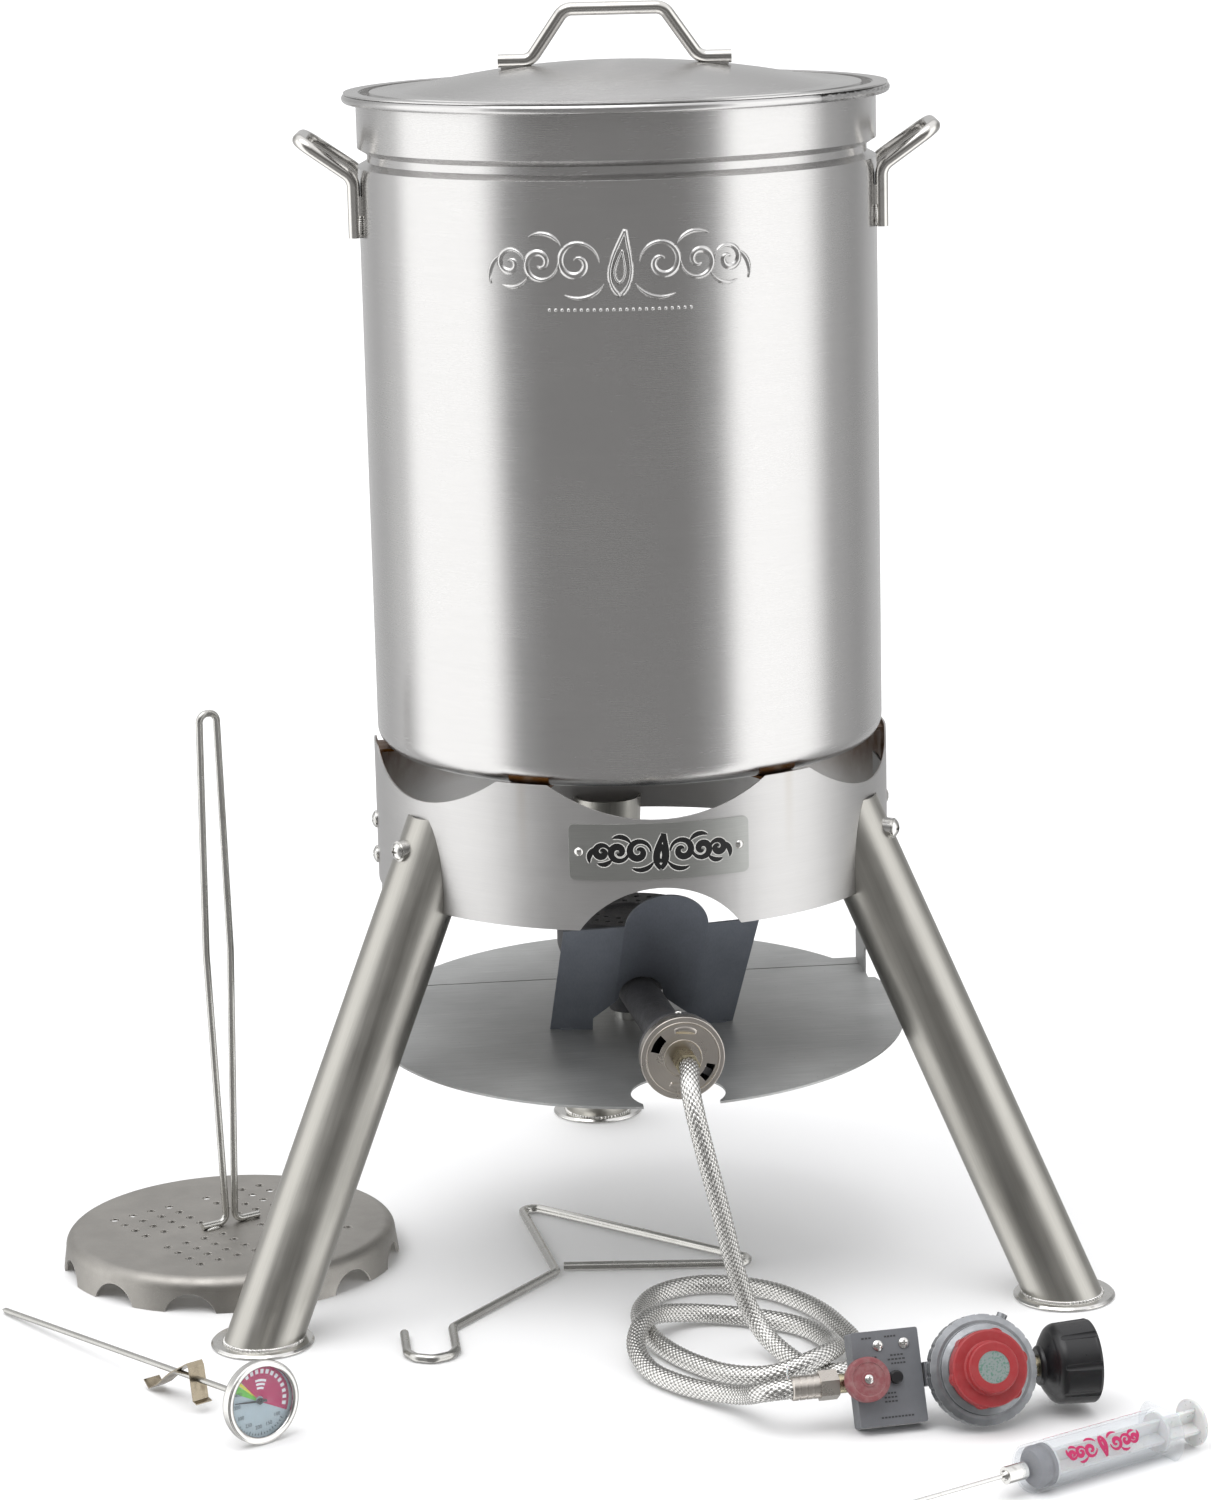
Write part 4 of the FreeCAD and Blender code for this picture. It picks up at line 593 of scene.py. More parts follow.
def rod_steel():
    """Polished round bar of the handles, drawn lengthways, with a few dull spots."""
    paint = steel("rod_steel", shade(208, 206, 202), 0.15)
    paint.roughen(paint.noise(14.0, detail=4), 0.06)
    paint.vary(paint.noise(25.0, detail=3), 0.05)
    paint.raise_by(paint.noise(0.5, detail=2), 0.004)
    near_weld = paint.noise(9.0, detail=5)
    paint.stain(paint.span(near_weld, 0.62, 0.78), shade(110, 96, 78), 0.35)
    return paint.done(0.2)


def rack_steel():
    """Bead-blasted aluminium: fine dimples, chalky, grey rubbed edges."""
    paint = steel("rack_steel", shade(162, 159, 154), 0.48)
    grain = paint.cells(0.9)
    paint.raise_by(grain, 0.015)
    paint.vary(paint.noise(30.0, detail=5), 0.10)
    paint.vary(paint.noise(1.0, detail=2), 0.05)
    paint.roughen(paint.noise(12.0, detail=3), 0.07)
    scratched(paint, paint.place, 0.2)
    paint.stain(paint.edges(0.8), shade(222, 220, 215), 0.5)
    return paint.done(0.5)


def wire_steel():
    paint = steel("wire_steel", shade(192, 191, 187), 0.25)
    paint.vary(paint.noise(20.0, detail=2), 0.06)
    paint.roughen(paint.noise(9.0, detail=2), 0.04)
    paint.raise_by(paint.noise(0.6, detail=2), 0.0008)
    paint.stain(paint.span(paint.noise(16.0, detail=3), 0.60, 0.8), shade(96, 84, 68), 0.2)
    return paint.done(0.15)


def clip_steel():
    """Spring strip; its brown tint and darker patches are a painted reflection of its surroundings."""
    # Painted reflection: the brown base colour and the dark patches stand for what the strip reflects
    paint = steel("clip_steel", shade(150, 140, 122), 0.20)
    painted_reflection_patches = paint.noise(9.0, detail=3)
    paint.stain(paint.span(painted_reflection_patches, 0.45, 0.7), shade(84, 72, 58), 0.6)
    paint.roughen(painted_reflection_patches, 0.08)
    paint.raise_by(paint.noise(0.5, detail=2), 0.002)
    paint.stain(paint.edges(0.5), shade(214, 208, 196), 0.5)
    return paint.done(0.2)


def braid_steel():
    """Plaited wire. The surface coordinates give the place across a carrier, which has five
    wires, and the height, which is low where one carrier dives under another."""
    paint = steel("braid", shade(230, 229, 226), 0.20)
    uv = paint.node("UVMap", uv_map="braid").outputs[0]
    across, height = paint.parts(uv)[:2]
    wires = paint.math("ABSOLUTE", paint.math("SINE", paint.math("MULTIPLY", across, 5 * math.pi)))
    paint.raise_by(wires, 0.05)
    # Painted shade: darker in the grooves between wires, darkest where a carrier dives under another
    paint.stain(paint.span(wires, 0.45, 0.0), shade(96, 94, 90), 0.5)
    paint.stain(paint.span(height, 0.62, 0.28), shade(52, 51, 48), 0.8)
    paint.vary(paint.noise(1.6, detail=2), 0.08)
    paint.vary(paint.noise(50.0, detail=3), 0.06)
    paint.roughen(paint.noise(8.0, detail=3), 0.06)
    return paint.done(0.05, strength=0.8)


# ---------------------------------------------------------------- cast, coated and moulded

def cast_iron():
    """Sand casting with a thin oxide bloom and rubbed high spots."""
    paint = Paint("cast_iron", shade(88, 88, 90), 0.50, metallic=0.4)
    grain = paint.noise(1.4, detail=5, rough=0.7)
    paint.raise_by(grain, 0.12)
    paint.raise_by(paint.noise(6.0, detail=3), 0.25)
    paint.vary(paint.noise(8.0, detail=4), 0.25)
    paint.roughen(grain, 0.12)
    paint.stain(paint.span(paint.noise(14.0, detail=5), 0.62, 0.8), shade(96, 70, 52), 0.25)
    paint.stain(paint.edges(1.0), shade(130, 130, 132), 0.5)
    return paint.done(0.6)


def baffle_steel():
    """Blued sheet, darker low down in the middle, where a painted reflection of the dark burner tube is laid on.
    """
    paint = Paint("baffle_steel", shade(124, 129, 138), 0.42, metallic=0.45)
    low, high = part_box("hose_baffle")
    centre = (low + high) / 2
    x, _, z = paint.parts(paint.place)
    off_centre = paint.math("ABSOLUTE", paint.math("SUBTRACT", x, centre.x))
    # Painted reflection: the dark burner tube's reflection, darkest low in the middle
    painted_tube_reflection = paint.math("MULTIPLY", paint.span(off_centre, 0.045, 0.0, smooth=True),
                      paint.span(z, high.z, low.z + 0.02))
    paint.stain(painted_tube_reflection, shade(14, 14, 16), 0.85)
    grain = paint.noise(1.0, stretch=(1, 1, 25), detail=3)
    paint.vary(grain, 0.08)
    paint.raise_by(grain, 0.01)
    paint.vary(paint.noise(30.0, detail=4), 0.12)
    paint.roughen(paint.noise(12.0, detail=4), 0.08)
    paint.stain(paint.edges(0.7), shade(170, 172, 176), 0.5)
    return paint.done(0.3)


def moulded(name, colour, roughness, worn, grain=0.03, dust=0.0):
    """Moulded plastic: fine texture, mottling, pale rubbed edges and a little dust."""
    paint = Paint(name, colour, roughness)
    paint.raise_by(paint.noise(0.5, detail=3), grain)
    paint.vary(paint.noise(7.0, detail=4), 0.06)
    paint.roughen(paint.noise(3.0, detail=3), 0.07)
    paint.stain(paint.edges(0.6), worn, 0.45)
    if dust:
        patches = paint.span(paint.noise(5.0, detail=5), 0.42, 0.75)
        paint.stain(patches, shade(176, 166, 160), dust)
    return paint


def white_plastic():
    paint = moulded("white_plastic", shade(236, 237, 236), 0.32, shade(250, 250, 250), grain=0.01)
    paint.surface.inputs["Transmission Weight"].default_value = 0.25
    paint.surface.inputs["Subsurface Weight"].default_value = 0.2
    paint.surface.inputs["Subsurface Scale"].default_value = 2 * MM
    return paint.done(0.3)


def rubber(name, colour):
    paint = Paint(name, colour, 0.6)
    paint.raise_by(paint.noise(0.5, detail=3), 0.02)
    paint.vary(paint.noise(5.0, detail=4), 0.12)
    paint.roughen(paint.noise(2.0, detail=3), 0.08)
    return paint.done(0.3)


def badge():
    """The cap's disc: brushed aluminium speckled with green print."""
    paint = Paint("badge", shade(150, 160, 158), 0.45, metallic=0.6)
    grain = paint.noise(0.4, stretch=(1, 1, 12), detail=2)
    paint.vary(grain, 0.08)
    specks = paint.span(paint.noise(1.4, detail=3), 0.52, 0.60)
    paint.stain(specks, shade(60, 134, 108), 0.6)
    paint.raise_by(specks, 0.02)
    paint.roughen(grain, 0.05)
    return paint.done(0.2)


def dial_print():
    """Matt printed card, blue-grey, with faint fibres."""
    paint = Paint("dial_print", shade(178, 190, 196), 0.55)
    fibres = paint.noise(0.8, detail=4)
    paint.vary(fibres, 0.04)
    paint.vary(paint.noise(14.0, detail=3), 0.05)
    paint.raise_by(fibres, 0.01)
    paint.roughen(fibres, 0.05)
    return paint.done(0.1)


def needle_black():
    paint = Paint("needle_black", shade(34, 34, 36), 0.4)
    paint.vary(paint.noise(2.0, detail=3), 0.15)
    paint.raise_by(paint.noise(0.4, detail=2), 0.005)
    paint.roughen(paint.noise(1.5, detail=3), 0.08)
    return paint.done(0.1)


def clear(name, tint, roughness, seen_through):
    """A clear part: mostly lets light straight through, and reflects more at a slant."""
    paint = Paint(name, tint, roughness)
    marks = paint.noise(6.0, detail=4)
    paint.roughen(marks, 0.05)
    paint.raise_by(paint.noise(10.0, detail=2), 0.02)
    slant = paint.node("LayerWeight")
    slant.inputs["Blend"].default_value = 0.25
    share = paint.span(slant.outputs["Facing"], 0.5, 1.0, seen_through, seen_through * 0.3)
    share = paint.math("MULTIPLY", share, paint.span(marks, 0.2, 0.8, 0.94, 1.0))
    paint.let_through(share, tint)
    return paint.done(0.2)


def lens():
    return clear("lens", shade(250, 252, 253), 0.03, 0.985)


def clear_plastic():
    return clear("clear_plastic", shade(248, 249, 250), 0.16, 0.90)


def print_ink(name, colour, roughness=0.5):
    """Screen-printed ink, slightly uneven."""
    paint = Paint(name, colour, roughness)
    uneven = paint.noise(1.2, detail=4)
    paint.vary(uneven, 0.10)
    paint.roughen(uneven, 0.08)
    paint.raise_by(uneven, 0.01)
    return paint.done(0.05)


PLASTICS = {
    "knob_plastic": (shade(132, 72, 76), 0.62, shade(190, 150, 148), 0.03, 0.28),
    "box_plastic": (shade(106, 108, 112), 0.50, shade(176, 178, 180), 0.04),
    "black_plastic": (shade(22, 22, 24), 0.34, shade(92, 92, 94), 0.02),
    "red_plastic": (shade(156, 44, 48), 0.40, shade(206, 116, 114), 0.02, 0.05),
}
RUBBERS = {"hose_rubber": shade(30, 30, 32), "seal_rubber": shade(70, 72, 84)}
INKS = {
    "ink_black": shade(16, 16, 17),
    "ink_pale": shade(205, 204, 200),
    "ink_magenta": shade(182, 18, 88),
    "ink_green": shade(104, 190, 60),
    "ink_yellow": shade(226, 214, 60),
    "ink_white": shade(238, 236, 238),
    "ink_label": shade(58, 58, 60),
}
FINISHES = {
    "ring_steel": ring_steel, "plate_steel": plate_steel, "bright_steel": bright_steel,
    "shield_steel": shield_steel, "baffle_steel": baffle_steel, "cast_iron": cast_iron,
    "nickel": nickel, "brass": brass, "braid": braid_steel, "zinc": zinc, "badge": badge,
    "pot_steel": pot_steel, "rod_steel": rod_steel, "rack_steel": rack_steel,
    "wire_steel": wire_steel, "clip_steel": clip_steel, "dial_print": dial_print,
    "needle_black": needle_black, "lens": lens, "clear_plastic": clear_plastic,
    "white_plastic": white_plastic,
}
OWN_FINISH = {"stem_clip": "clip_steel"}
made = {}


def finish(name):
    """The material of a slot or an ink, made the first time it is asked for."""
    if name not in made:
        if name in INKS:
            made[name] = print_ink(name, INKS[name])
        elif name in RUBBERS:
            made[name] = rubber(name, RUBBERS[name])
        elif name in PLASTICS:
            made[name] = moulded(name, *PLASTICS[name]).done(0.5)
        else:
            made[name] = FINISHES[name]()
    return made[name]


# ---------------------------------------------------------------- ornament

def arc(centre, radius, start, end, count=24):
    angle = np.radians(np.linspace(start, end, count))
    return np.stack([centre[0] + radius * np.cos(angle), centre[1] + radius * np.sin(angle)], 1)


def scroll(centre, radius, start, turns, hand, count=48):
    """A line that winds inwards to a tight eye."""
    share = np.linspace(0, 1, count)
    angle = np.radians(start) + hand * turns * 2 * math.pi * share
    reach = radius * (1 - 0.86 * share)
    return np.stack([centre[0] + reach * np.cos(angle), centre[1] + reach * np.sin(angle)], 1)


def swelling(count, thin, thick):
    """Widths that swell from thin ends to a thick middle."""
    return thin + (thick - thin) * np.sin(np.linspace(0, math.pi, count)) ** 0.8


def mirrored(lines):
    return lines + [(line * [-1, 1], widths) for line, widths in lines]


def flame(height, lean, width):
    """One tongue of flame: two sides that meet in a bent tip."""
    share = np.linspace(0, 1, 30)
    belly = width * np.sin(math.pi * share ** 0.75) * (1 - 0.35 * share)
    spine = lean * share ** 2
    up = height * (share - 0.5)
    right = np.stack([spine + belly, up], 1)
    left = np.stack([spine - belly, up], 1)[::-1]
    return np.vstack([right, left])


def flourish(half, height, thick):
    """A flame between two runs of scrolls, as (points, widths) in mm."""
    lines = []
    reach = 0.36 * height
    x = 0.16 * half
    for i in range(3):
        size = reach * (1 - 0.16 * i)
        hand = 1 if i % 2 else -1
        line = scroll((x + size, 0), size, 180, 1.35, hand)
        lines.append((line, swelling(len(line), 0.25 * thick, thick)))
        leaf = arc((x + size * 0.9, hand * size * 0.25), size * 1.25, hand * 150, hand * 60)
        lines.append((leaf, swelling(len(leaf), 0.15 * thick, 0.7 * thick)))
        x += 1.78 * size
    tail = arc((x - 0.1 * half, -0.2 * height), 0.35 * height, 70, -20)
    lines.append((tail, swelling(len(tail), 0.1 * thick, 0.8 * thick)))
    lines = mirrored(lines)
    for scale in (1.0, 0.5):
        outline = flame(height * scale, 0.10 * height * scale, 0.19 * height * scale)
        outline = outline + [0, -0.12 * height * (1 - scale)]
        lines.append((outline, np.full(len(outline), 0.7 * thick * (0.6 + 0.4 * scale))))
    return lines


def shifted(lines, dx, dy):
    return [(line + [dx, dy], widths) for line, widths in lines]


# ---------------------------------------------------------------- hose

def rounded_route(points):
    """The points joined by straights, each corner rounded to the largest arc that fits."""
    out = [points[0]]
    for before, corner, after in zip(points, points[1:], points[2:]):
        back, ahead = before - corner, after - corner
        reach = ROUNDING_SHARE * min(np.linalg.norm(back), np.linalg.norm(ahead))
        back, ahead = back / np.linalg.norm(back), ahead / np.linalg.norm(ahead)
        half = math.acos(np.clip(back @ ahead, -1, 1)) / 2
        radius = reach * math.tan(half)
        middle = (back + ahead) / np.linalg.norm(back + ahead)
        centre = corner + middle * (radius / math.sin(half))
        entry, leave = corner + back * reach, corner + ahead * reach
        sweep = math.pi - 2 * half
        for share in np.linspace(0, 1, 12):
            a = math.sin((1 - share) * sweep) / math.sin(sweep)
            b = math.sin(share * sweep) / math.sin(sweep)
            out.append(centre + (entry - centre) * a + (leave - centre) * b)
    out.append(points[-1])
    return np.array(out)


def hose_centre():
    shutter = JOINTS["air_shutter_turn"]
    mouth, out = np.array(shutter["pos_m"]) / MM, np.array(shutter["axis"])
    first, second = (mouth + out * d for d in HOSE_FROM_MOUTH)
    along = np.array(JOINTS["tank_nut_spin"]["axis"])
    matrix = local_frame(along, UP, (0, 0, 0))
    low, high = local_box("hose_ferrule", matrix)
    middle = np.append((low[:2] + high[:2]) / 2, 0)
    end = transform(matrix, middle + [0, 0, high[2] - MM]) / MM
    entry = transform(matrix, middle + [0, 0, low[2] - FERRULE_AHEAD * MM]) / MM
    return rounded_route([first, second] + [np.array(p, float) for p in HOSE_ROUTE] + [entry, end])


def resampled(path, step):
    gaps = np.linalg.norm(np.diff(path, axis=0), axis=1)
    path = path[np.concatenate([[True], gaps > 1e-6])]
    lengths = np.concatenate([[0], np.cumsum(np.linalg.norm(np.diff(path, axis=0), axis=1))])
    at = np.arange(0, lengths[-1], step)
    return np.stack([np.interp(at, lengths, path[:, i]) for i in range(3)], 1), at


def weave(u, v):
    """Height and wire coordinate of a plain braid at carrier counts u and v."""
    over = (np.floor(u) + np.floor(v)) % 2 == 0
    fu, fv = u - np.floor(u), v - np.floor(v)
    across, along = np.where(over, fu, fv), np.where(over, fv, fu)
    crown = 1 - 0.75 * (2 * across - 1) ** 2
    lift = 0.45 + 0.55 * np.sin(math.pi * along)
    return crown * lift, across


def braided_hose():
    centre, at = resampled(hose_centre(), BRAID_PITCH / 6)
    angle = np.linspace(0, BRAID_CARRIERS, BRAID_AROUND, endpoint=False)[None, :]
    along = (at / BRAID_PITCH)[:, None]
    height, across = weave(angle + along, angle - along)
    relief = (height - 0.9) * BRAID_RELIEF * MM
    rings = tube_rings(centre * MM, HOSE_R * MM, BRAID_AROUND, relief)
    vertices, faces = skin(rings)
    hose = piece("braided_hose", vertices, faces, "stand", "braid")
    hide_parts("hose_braid")
    layer = hose.data.uv_layers.new(name="braid")
    corner = np.zeros(len(hose.data.loops), np.int32)
    hose.data.loops.foreach_get("vertex_index", corner)
    uv = np.stack([across.ravel(), height.ravel()], 1)
    layer.data.foreach_set("uv", uv[corner].astype(np.float32).ravel())


# ---------------------------------------------------------------- details on the pot and stand

def pot_front():
    """A frame on the pot's axis whose X points out of its front, between the handles."""
    points = points_of("pot_handles")
    across = points[points[:, 0] > 0].mean(0) - points[points[:, 0] < 0].mean(0)
    out = UP.cross(Vector(across)) * -1
    return local_frame(UP, out, Vector((0, 0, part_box("pot")[0].z)))


def pot_emblem():
    """The pressed ornament on the pot's front, with a row of studs below it."""
    surface = cylinder_surface(pot_front(), POT_WALL_R)
    lines = shifted(flourish(80, 42, 4.4), 0, 347)
    strokes = [stroke(line, widths, embossed(1.2), surface) for line, widths in lines]
    for i in range(-11, 12):
        stud = np.array([[4.2 * i - 0.9, 317], [4.2 * i, 317], [4.2 * i + 0.9, 317]])
        strokes.append(stroke(stud, 2.2, embossed(0.6), surface))
    piece("pot_emblem", *joined(strokes), "pot", "pot_steel")


def weld_beads():
    """Beads where the legs meet their foot rings."""
    skins = []
    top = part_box("foot_rings")[1].z
    for side in ("left", "right", "rear"):
        points = points_of("leg_" + side)
        foot = points[points[:, 2] < top + 1 * MM]
        middle = (foot.max(0) + foot.min(0)) / 2
        spread = foot - middle
        spread = spread[np.hypot(spread[:, 0], spread[:, 1]) > 24.5 * MM]
        order = np.argsort(np.arctan2(spread[:, 1], spread[:, 0]))
        ring = middle + spread[order]
        ring[:, 2] = top + 0.4 * MM
        skins.append(bead(ring, 1.1, closed=True))
    piece("foot_welds", *joined(skins), "stand", "bright_steel")


def nameplate_print():
    """The plate's printed ornament: a pale halo with the black drawing on it."""
    low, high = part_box("nameplate")
    radius = -low.y / MM
    matrix = local_frame(UP, (0, -1, 0), Vector((0, 0, (low.z + high.z) / 2)))
    surface = cylinder_surface(matrix, radius)
    lines = flourish(40, 23, 4.6)
    halo = [stroke(line, widths + 1.2, ink(0.04), surface) for line, widths in lines]
    print_ = [stroke(line, widths, ink(0.10, 0.0), surface) for line, widths in lines]
    piece("nameplate_halo", *joined(halo), "stand", "ink_pale", smooth=False)
    piece("nameplate_ornament", *joined(print_), "stand", "ink_black", smooth=False)


def shutter_rings():
    """Raised rings pressed into the face of the air shutter."""
    matrix = joint_frame("air_shutter_turn")
    face = local_box("air_shutter", matrix)[1][2]
    skins = []
    for radius, size in ((12.6, 0.5), (24.6, 0.6)):
        line = arc((0, 0), radius, 0, 360, 97)[:-1] * MM
        path = np.column_stack([line, np.full(len(line), face)])
        skins.append(bead(transform(matrix, path), size, closed=True, ripple=0.0, sides=8))
    piece("shutter_rings", *joined(skins), "air_shutter", "nickel")


def shutter_presses():
    """Two curved ribs pressed up between the shutter's windows."""
    matrix = joint_frame("air_shutter_turn")
    face = local_box("air_shutter", matrix)[1][2]
    surface = flat_surface(matrix @ Matrix.Translation((0, 0, face)))
    skins = []
    for start in (-28, 152):
        line = arc((0, 0), 19.5, start, start + 44, 16)
        skins.append(stroke(line, swelling(len(line), 3.0, 5.0), embossed(0.7), surface))
    piece("shutter_presses", *joined(skins), "air_shutter", "nickel")


def set_screw():
    """The small screw in the top of the air shutter's skirt."""
    matrix = joint_frame("air_shutter_turn")
    skirt = local_box("air_shutter", matrix)[1][0]
    inset = Matrix.Translation((skirt - 1.4 * MM, 0, -13 * MM))
    seat = matrix @ inset @ Matrix.Rotation(math.radians(90), 4, "Y")
    head = [(0.01, -1), (2.3, -1), (2.3, 1.0), (2.0, 1.7), (1.2, 2.1), (0.01, 2.2)]
    piece("shutter_set_screw", *lathed(seat, head, 24), "air_shutter", "bright_steel")


def handle_welds():
    """Beads on both sides of each upright foot of the pot's two handles."""
    points = points_of("pot_handles")
    out = points[points[:, 0] > 0].mean(0) * [1, 1, 0]
    out /= np.linalg.norm(out)
    across = np.array([-out[1], out[0], 0])
    skins = []
    for way in (-1, 1):
        for hand in (-1, 1):
            foot = points[((points @ out) * way > 0) & ((points @ across) * hand > 0)]
            foot = foot[foot[:, 2] < foot[:, 2].min() + 30 * MM]
            wall = (foot @ out * way).min()
            middle = ((foot @ across).max() + (foot @ across).min()) / 2
            for side in (-3.6, 3.6):
                base = out * way * (wall + 1.0 * MM) + across * (middle + side * MM)
                ends = [base + [0, 0, foot[:, 2].min() + rise * MM] for rise in (1, 15)]
                skins.append(bead(ends, 1.5))
    piece("handle_welds", *joined(skins), "pot", "rod_steel")


def loop_welds():
    """Beads on both sides of the lifting loop's two feet."""
    points = points_of("rack_loop")
    centre = (points.max(0) + points.min(0)) / 2
    low = points[points[:, 2] < points[:, 2].min() + 6 * MM]
    reach = (low - centre)[:, :2]
    tip = low[np.argmax(np.hypot(*reach.T))][:2] - centre[:2]
    ahead = np.append(tip / np.linalg.norm(tip), 0)
    side = np.array([-ahead[1], ahead[0], 0])
    base = np.array([centre[0], centre[1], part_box("rack_plate")[1].z + 0.6 * MM])
    skins = []
    for way in (-1, 1):
        for hand in (-1, 1):
            ends = [base + ahead * way * d * MM + side * hand * 2.3 * MM for d in (11.0, 22.0)]
            skins.append(bead(ends, 1.5))
    piece("loop_welds", *joined(skins), "rack", "wire_steel")


# ---------------------------------------------------------------- details on the gas set

def box_front():
    """A frame on the control box's front: X to the right, Y up, Z out of the face."""
    out = JOINTS["valve_knob_turn"]["axis"]
    across = JOINTS["tank_nut_spin"]["axis"]
    matrix = local_frame(out, across)
    low, high = local_box("control_cover", matrix)
    return local_frame(out, across, transform(matrix, [low[0], low[1], high[2]]))


def label_bars():
    """Short moulded bars in place of the box's lettering."""
    surface = flat_surface(box_front())
    rows = ((10.5, 55.5, 7), (26.0, 55.5, 8), (13.0, 43.2, 6), (29.0, 43.5, 9), (28.5, 40.9, 12),
            (29.5, 38.3, 10), (22.0, 20.0, 8), (22.0, 17.4, 9), (22.0, 14.8, 9), (25.0, 5.0, 22))
    skins = []
    for x, y, length in rows:
        count = max(2, round(length / 2.2))
        for i in range(count):
            start = x - length / 2 + i * length / count
            line = np.array([[start, y], [start + 0.7 * length / count, y]])
            skins.append(stroke(line, 1.1, ink(0.12), surface))
    piece("control_label", *joined(skins), "stand", "ink_label", smooth=False)


def hose_tie():
    """The loose end of a thin tie round the hose, next to the ferrule."""
    matrix = local_frame(JOINTS["tank_nut_spin"]["axis"], UP)
    low, high = local_box("hose_ferrule", matrix)
    middle = np.append((low[:2] + high[:2]) / 2, low[2])
    path = [(6.6, 0, -2), (7.0, 1, -2), (11, 2, -3), (15, 2.5, -2.5), (18, 2, -1.5)]
    centre = transform(matrix, middle + np.array(path) * MM)
    piece("hose_tie", *skin(tube_rings(centre, 0.55 * MM, 8)), "stand", "white_plastic")


def bezel_trim():
    """The turned front ring of the thermometer's case."""
    joint = JOINTS["needle_swing"]
    matrix = joint_frame("needle_swing")
    low, high = local_box("thermometer_case", matrix)
    centre = np.append((low[:2] + high[:2]) / 2, high[2])
    rim = (high[0] - low[0]) / 2 / MM
    front = local_frame(joint["axis"], UP, transform(matrix, centre))
    profile = [(rim - 4.6, -1.6), (rim - 4.4, -0.5), (rim - 3.6, 0.2), (rim - 1.6, 0.4),
               (rim - 0.4, -0.2), (rim - 0.2, -1.4)]
    piece("bezel_trim", *lathed(front, profile, 96, looped=True), "thermometer", "bright_steel")


def dial_frame():
    """A frame at the dial: Z out of its face, X towards the twelve o'clock mark."""
    matrix = joint_frame("needle_swing")
    face = local_box("dial_face", matrix)[1][2]
    return matrix @ Matrix.Translation((0, 0, face))


def sector(inner, outer, start, end, lift, surface):
    """A printed sector between two clock angles, in degrees clockwise from twelve."""
    middle = (inner + outer) / 2
    count = max(4, round((end - start) / 4))
    line = arc((0, 0), middle, -start, -end, count)
    return stroke(line, outer - inner, ink(lift, -lift + 0.02), surface)


def dial_marks():
    surface = flat_surface(dial_frame())
    sectors = {"green": (296, 313, "ink_green"), "yellow": (313, 320, "ink_yellow"),
               "magenta": (320, 480, "ink_magenta")}
    for name, (start, end, colour) in sectors.items():
        skin_of = sector(3.0, 22.4, start, end, 0.06, surface)
        piece("dial_" + name, *skin_of, "thermometer", colour, smooth=False)
    ticks = []
    for i in range(28):
        clock = math.radians(-(134 + i * 6))
        reach = (20.0, 22.2) if i % 4 == 0 else (21.0, 22.2)
        line = np.array([[r * math.cos(clock), r * math.sin(clock)] for r in reach])
        ticks.append(stroke(line, 0.45, ink(0.08, -0.02), surface))
    piece("dial_ticks", *joined(ticks), "thermometer", "needle_black", smooth=False)
    white = []
    for start in range(332, 470, 12):
        white.append(sector(17.6, 20.4, start, start + 7, 0.10, surface))
    for radius in (7.5, 10.0, 12.5):
        white.append(sector(radius, radius + 1.5, 352, 388, 0.10, surface))
    piece("dial_bars", *joined(white), "thermometer", "ink_white", smooth=False)


def dial_numbers():
    """Numbers round the pale part of the dial."""
    matrix = dial_frame()
    vertices, faces = [], []
    for i, value in enumerate(range(100, 450, 50)):
        curve = bpy.data.curves.new("number", "FONT")
        curve.body = str(value)
        curve.size = 3.4 * MM
        curve.align_x, curve.align_y = "CENTER", "CENTER"
        curve.extrude = 0.03 * MM
        holder = bpy.data.objects.new("number", curve)
        bpy.context.scene.collection.objects.link(holder)
        mesh = holder.to_mesh()
        clock = math.radians(-(134 + i * 27))
        spot = Matrix.Translation((17.0 * MM * math.cos(clock), 17.0 * MM * math.sin(clock), 0.08 * MM))
        upright = Matrix.Rotation(math.radians(-90), 4, "Z")
        start = len(vertices)
        place = matrix @ spot @ upright
        vertices += [place @ v.co for v in mesh.vertices]
        faces += [[v + start for v in p.vertices] for p in mesh.polygons]
        holder.to_mesh_clear()
        bpy.data.objects.remove(holder)
    piece("dial_numbers", vertices, faces, "thermometer", "needle_black", smooth=False)


def injector_print():
    """Magenta ornament and graduations on the clear barrel."""
    axis = Vector(JOINTS["plunger_slide"]["axis"])
    matrix = local_frame(axis, UP)
    low, high = local_box("injector_barrel", matrix)
    centre = np.append((low[:2] + high[:2]) / 2, low[2])
    matrix = local_frame(axis, UP, transform(matrix, centre))
    radius = 15.05
    length = (high[2] - low[2]) / MM
    surface = cylinder_surface(matrix, radius, heading=38.0)
    lines = [(line[:, ::-1] * [1, 1], widths) for line, widths in flourish(33, 13, 2.6)]
    lines = shifted(lines, 5.5, 0.52 * length)
    skins = [stroke(line, widths, ink(0.03), surface) for line, widths in lines]
    for i in range(21):
        reach = 7.0 if i % 5 == 0 else 4.0
        z = 0.28 * length + i * 0.6 * length / 20
        line = np.array([[-14.0 - reach + s * reach / 6, z] for s in range(7)])
        skins.append(stroke(line, 0.5, ink(0.03), surface))
    piece("injector_print", *joined(skins), "injector", "ink_magenta", smooth=False)


# ---------------------------------------------------------------- studio

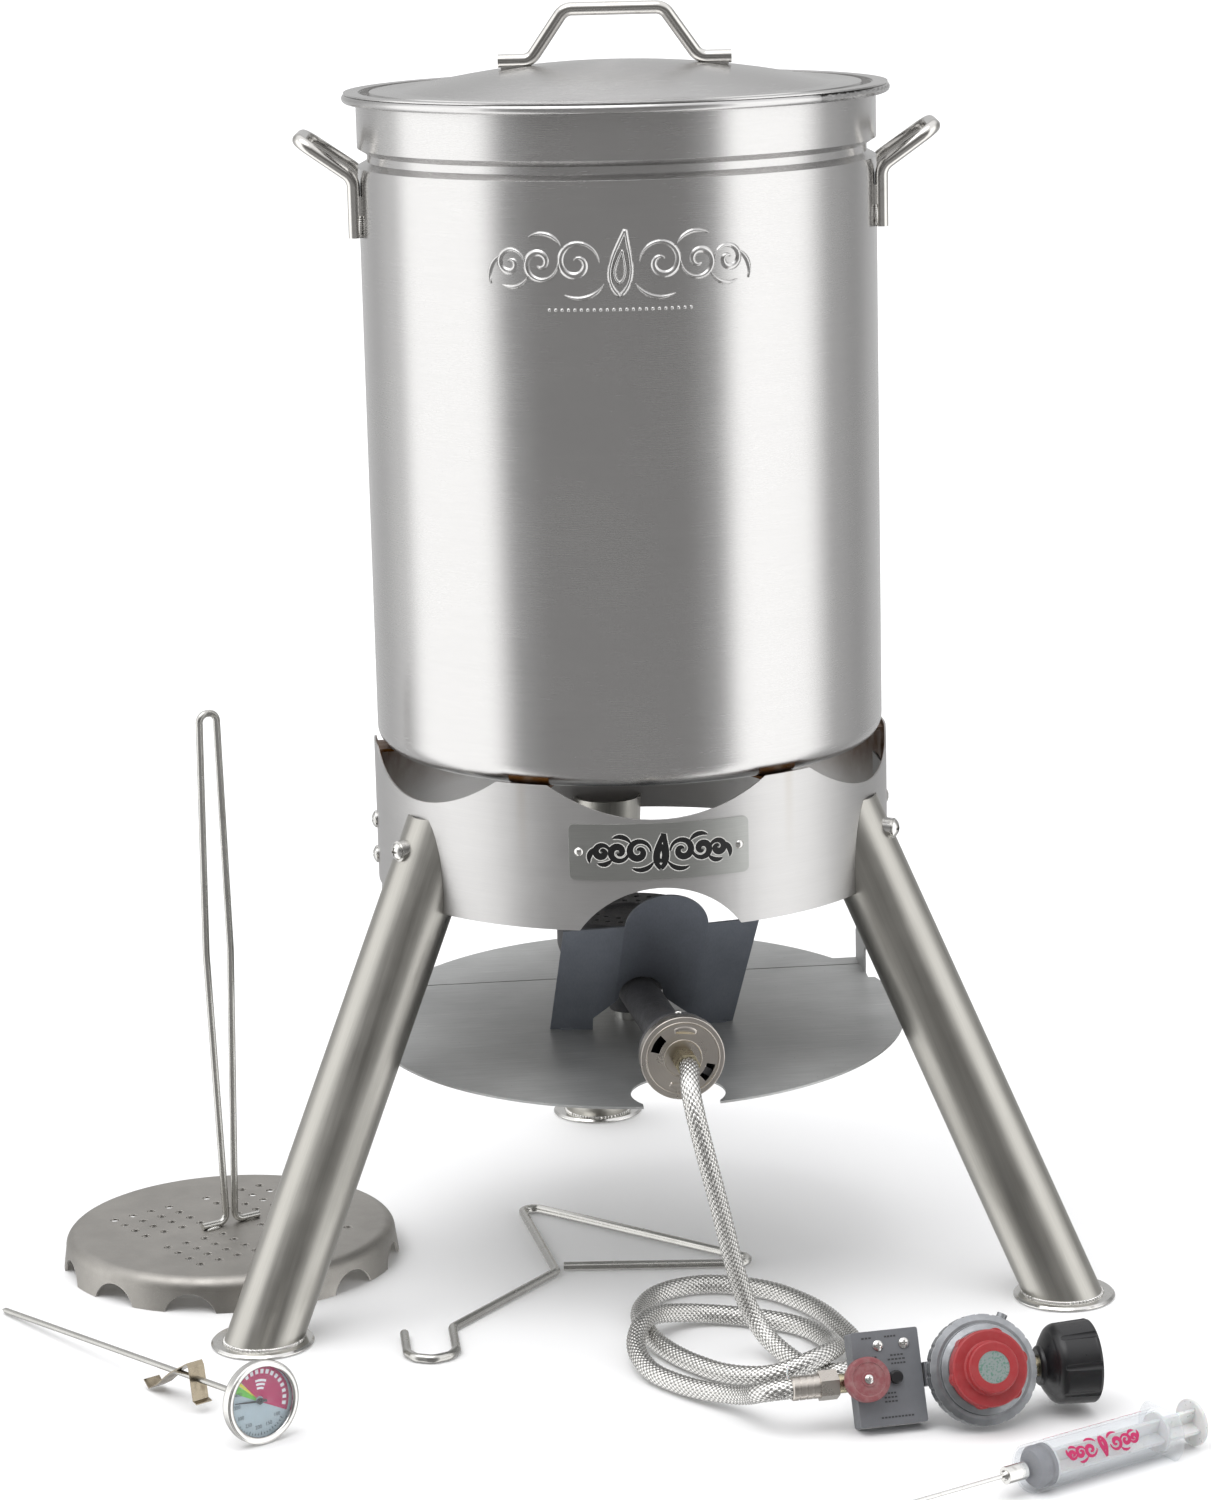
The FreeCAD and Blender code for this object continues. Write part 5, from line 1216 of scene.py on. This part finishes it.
def studio_world():
    """Two tall soft lights, left and right of the camera, in a dim room, seen only by
    reflections. What the camera sees directly is a plain pale backdrop."""
    world = bpy.data.worlds.new("studio")
    world.use_nodes = True
    bpy.context.scene.world = world
    graph = Graph(world.node_tree)
    graph.tree.nodes.clear()
    x, y, z = graph.parts(graph.node("TexCoord").outputs["Generated"])
    heading = graph.math("ARCTAN2", x, graph.math("MULTIPLY", y, -1.0))
    turns = graph.math("ADD", graph.math("DIVIDE", heading, 2 * math.pi), 0.5 + CAMERA_YAW / 360)
    ramp = graph.node("ValToRGB")
    ramp.color_ramp.interpolation = "EASE"
    elements = ramp.color_ramp.elements
    for i, (angle, level) in enumerate(STUDIO_LEVELS):
        element = elements[i] if i < 2 else elements.new(1.0)
        element.position = (angle + 180) / 360
        warm = 0.96 if level < 0.3 else 1.0
        element.color = (level, level * (0.5 + warm / 2), level * warm, 1)
    around = graph.fill(ramp, graph.math("FRACT", turns))
    overhead = graph.span(z, 0.35, 0.85, smooth=True)
    room, backdrop = graph.node("Background"), graph.node("Background")
    graph.plug(room.inputs[0], graph.mix(overhead, around, (1.25, 1.25, 1.27, 1)))
    graph.plug(backdrop.inputs[0], (1, 1, 1, 1))
    direct = graph.node("LightPath").outputs["Is Camera Ray"]
    seen = graph.fill(graph.node("MixShader"), direct, room.outputs[0], backdrop.outputs[0])
    graph.plug(graph.node("OutputWorld").inputs[0], seen)


def floor():
    """A pale floor that reflections look through, so that metal shows the studio."""
    half = 90.0
    mesh = bpy.data.meshes.new("floor")
    corners = [(-half, -half), (half, -half), (half, half), (-half, half)]
    mesh.from_pydata([(x, y, -0.2 * MM) for x, y in corners], [], [[0, 1, 2, 3]])
    plane = link("floor", mesh)
    paint = Paint("floor", (0.93, 0.93, 0.93, 1), 0.8)
    paint.vary(paint.noise(400.0, detail=3), 0.01)
    glossy = paint.node("LightPath").outputs["Is Glossy Ray"]
    paint.let_through(paint.math("MULTIPLY", glossy, 0.85))
    mesh.materials.append(paint.done(0.01))


def overhead_light():
    """A wide soft light from above and a little to the left."""
    light = bpy.data.lights.new("overhead", "SUN")
    light.energy = 1.1
    light.angle = math.radians(50)
    obj = bpy.data.objects.new("overhead", light)
    bpy.context.scene.collection.objects.link(obj)
    obj.rotation_euler = (math.radians(14), math.radians(-16), 0)


def camera():
    data = bpy.data.cameras.new("camera")
    data.sensor_width = 36.0
    data.sensor_fit = "AUTO"
    data.lens = CAMERA_LENS
    data.shift_x, data.shift_y = CAMERA_SHIFT
    data.clip_end = 200.0
    obj = bpy.data.objects.new("camera", data)
    bpy.context.scene.collection.objects.link(obj)
    yaw = Matrix.Rotation(math.radians(-CAMERA_YAW), 4, "Z")
    pitch = Matrix.Rotation(math.radians(90 - CAMERA_PITCH), 4, "X")
    roll = Matrix.Rotation(math.radians(-CAMERA_ROLL), 4, "Z")
    obj.matrix_world = Matrix.Translation(Vector(CAMERA_PLACE) * MM) @ yaw @ pitch @ roll
    bpy.context.scene.camera = obj


# ---------------------------------------------------------------- putting it together

def dress_frame():
    """Gives every CAD node its finish."""
    for name, obj in frame["nodes"].items():
        slot = SLOTS[name]
        material = leg_steel(name) if slot == "leg_steel" else finish(OWN_FINISH.get(name, slot))
        obj.data.materials.clear()
        obj.data.materials.append(material)


dress_frame()
braided_hose()
pot_emblem()
weld_beads()
nameplate_print()
shutter_rings()
shutter_presses()
set_screw()
handle_welds()
loop_welds()
hose_tie()
bezel_trim()
label_bars()
dial_marks()
dial_numbers()
injector_print()
studio_world()
floor()
overhead_light()
camera()
bpy.context.scene.view_settings.view_transform = "Standard"
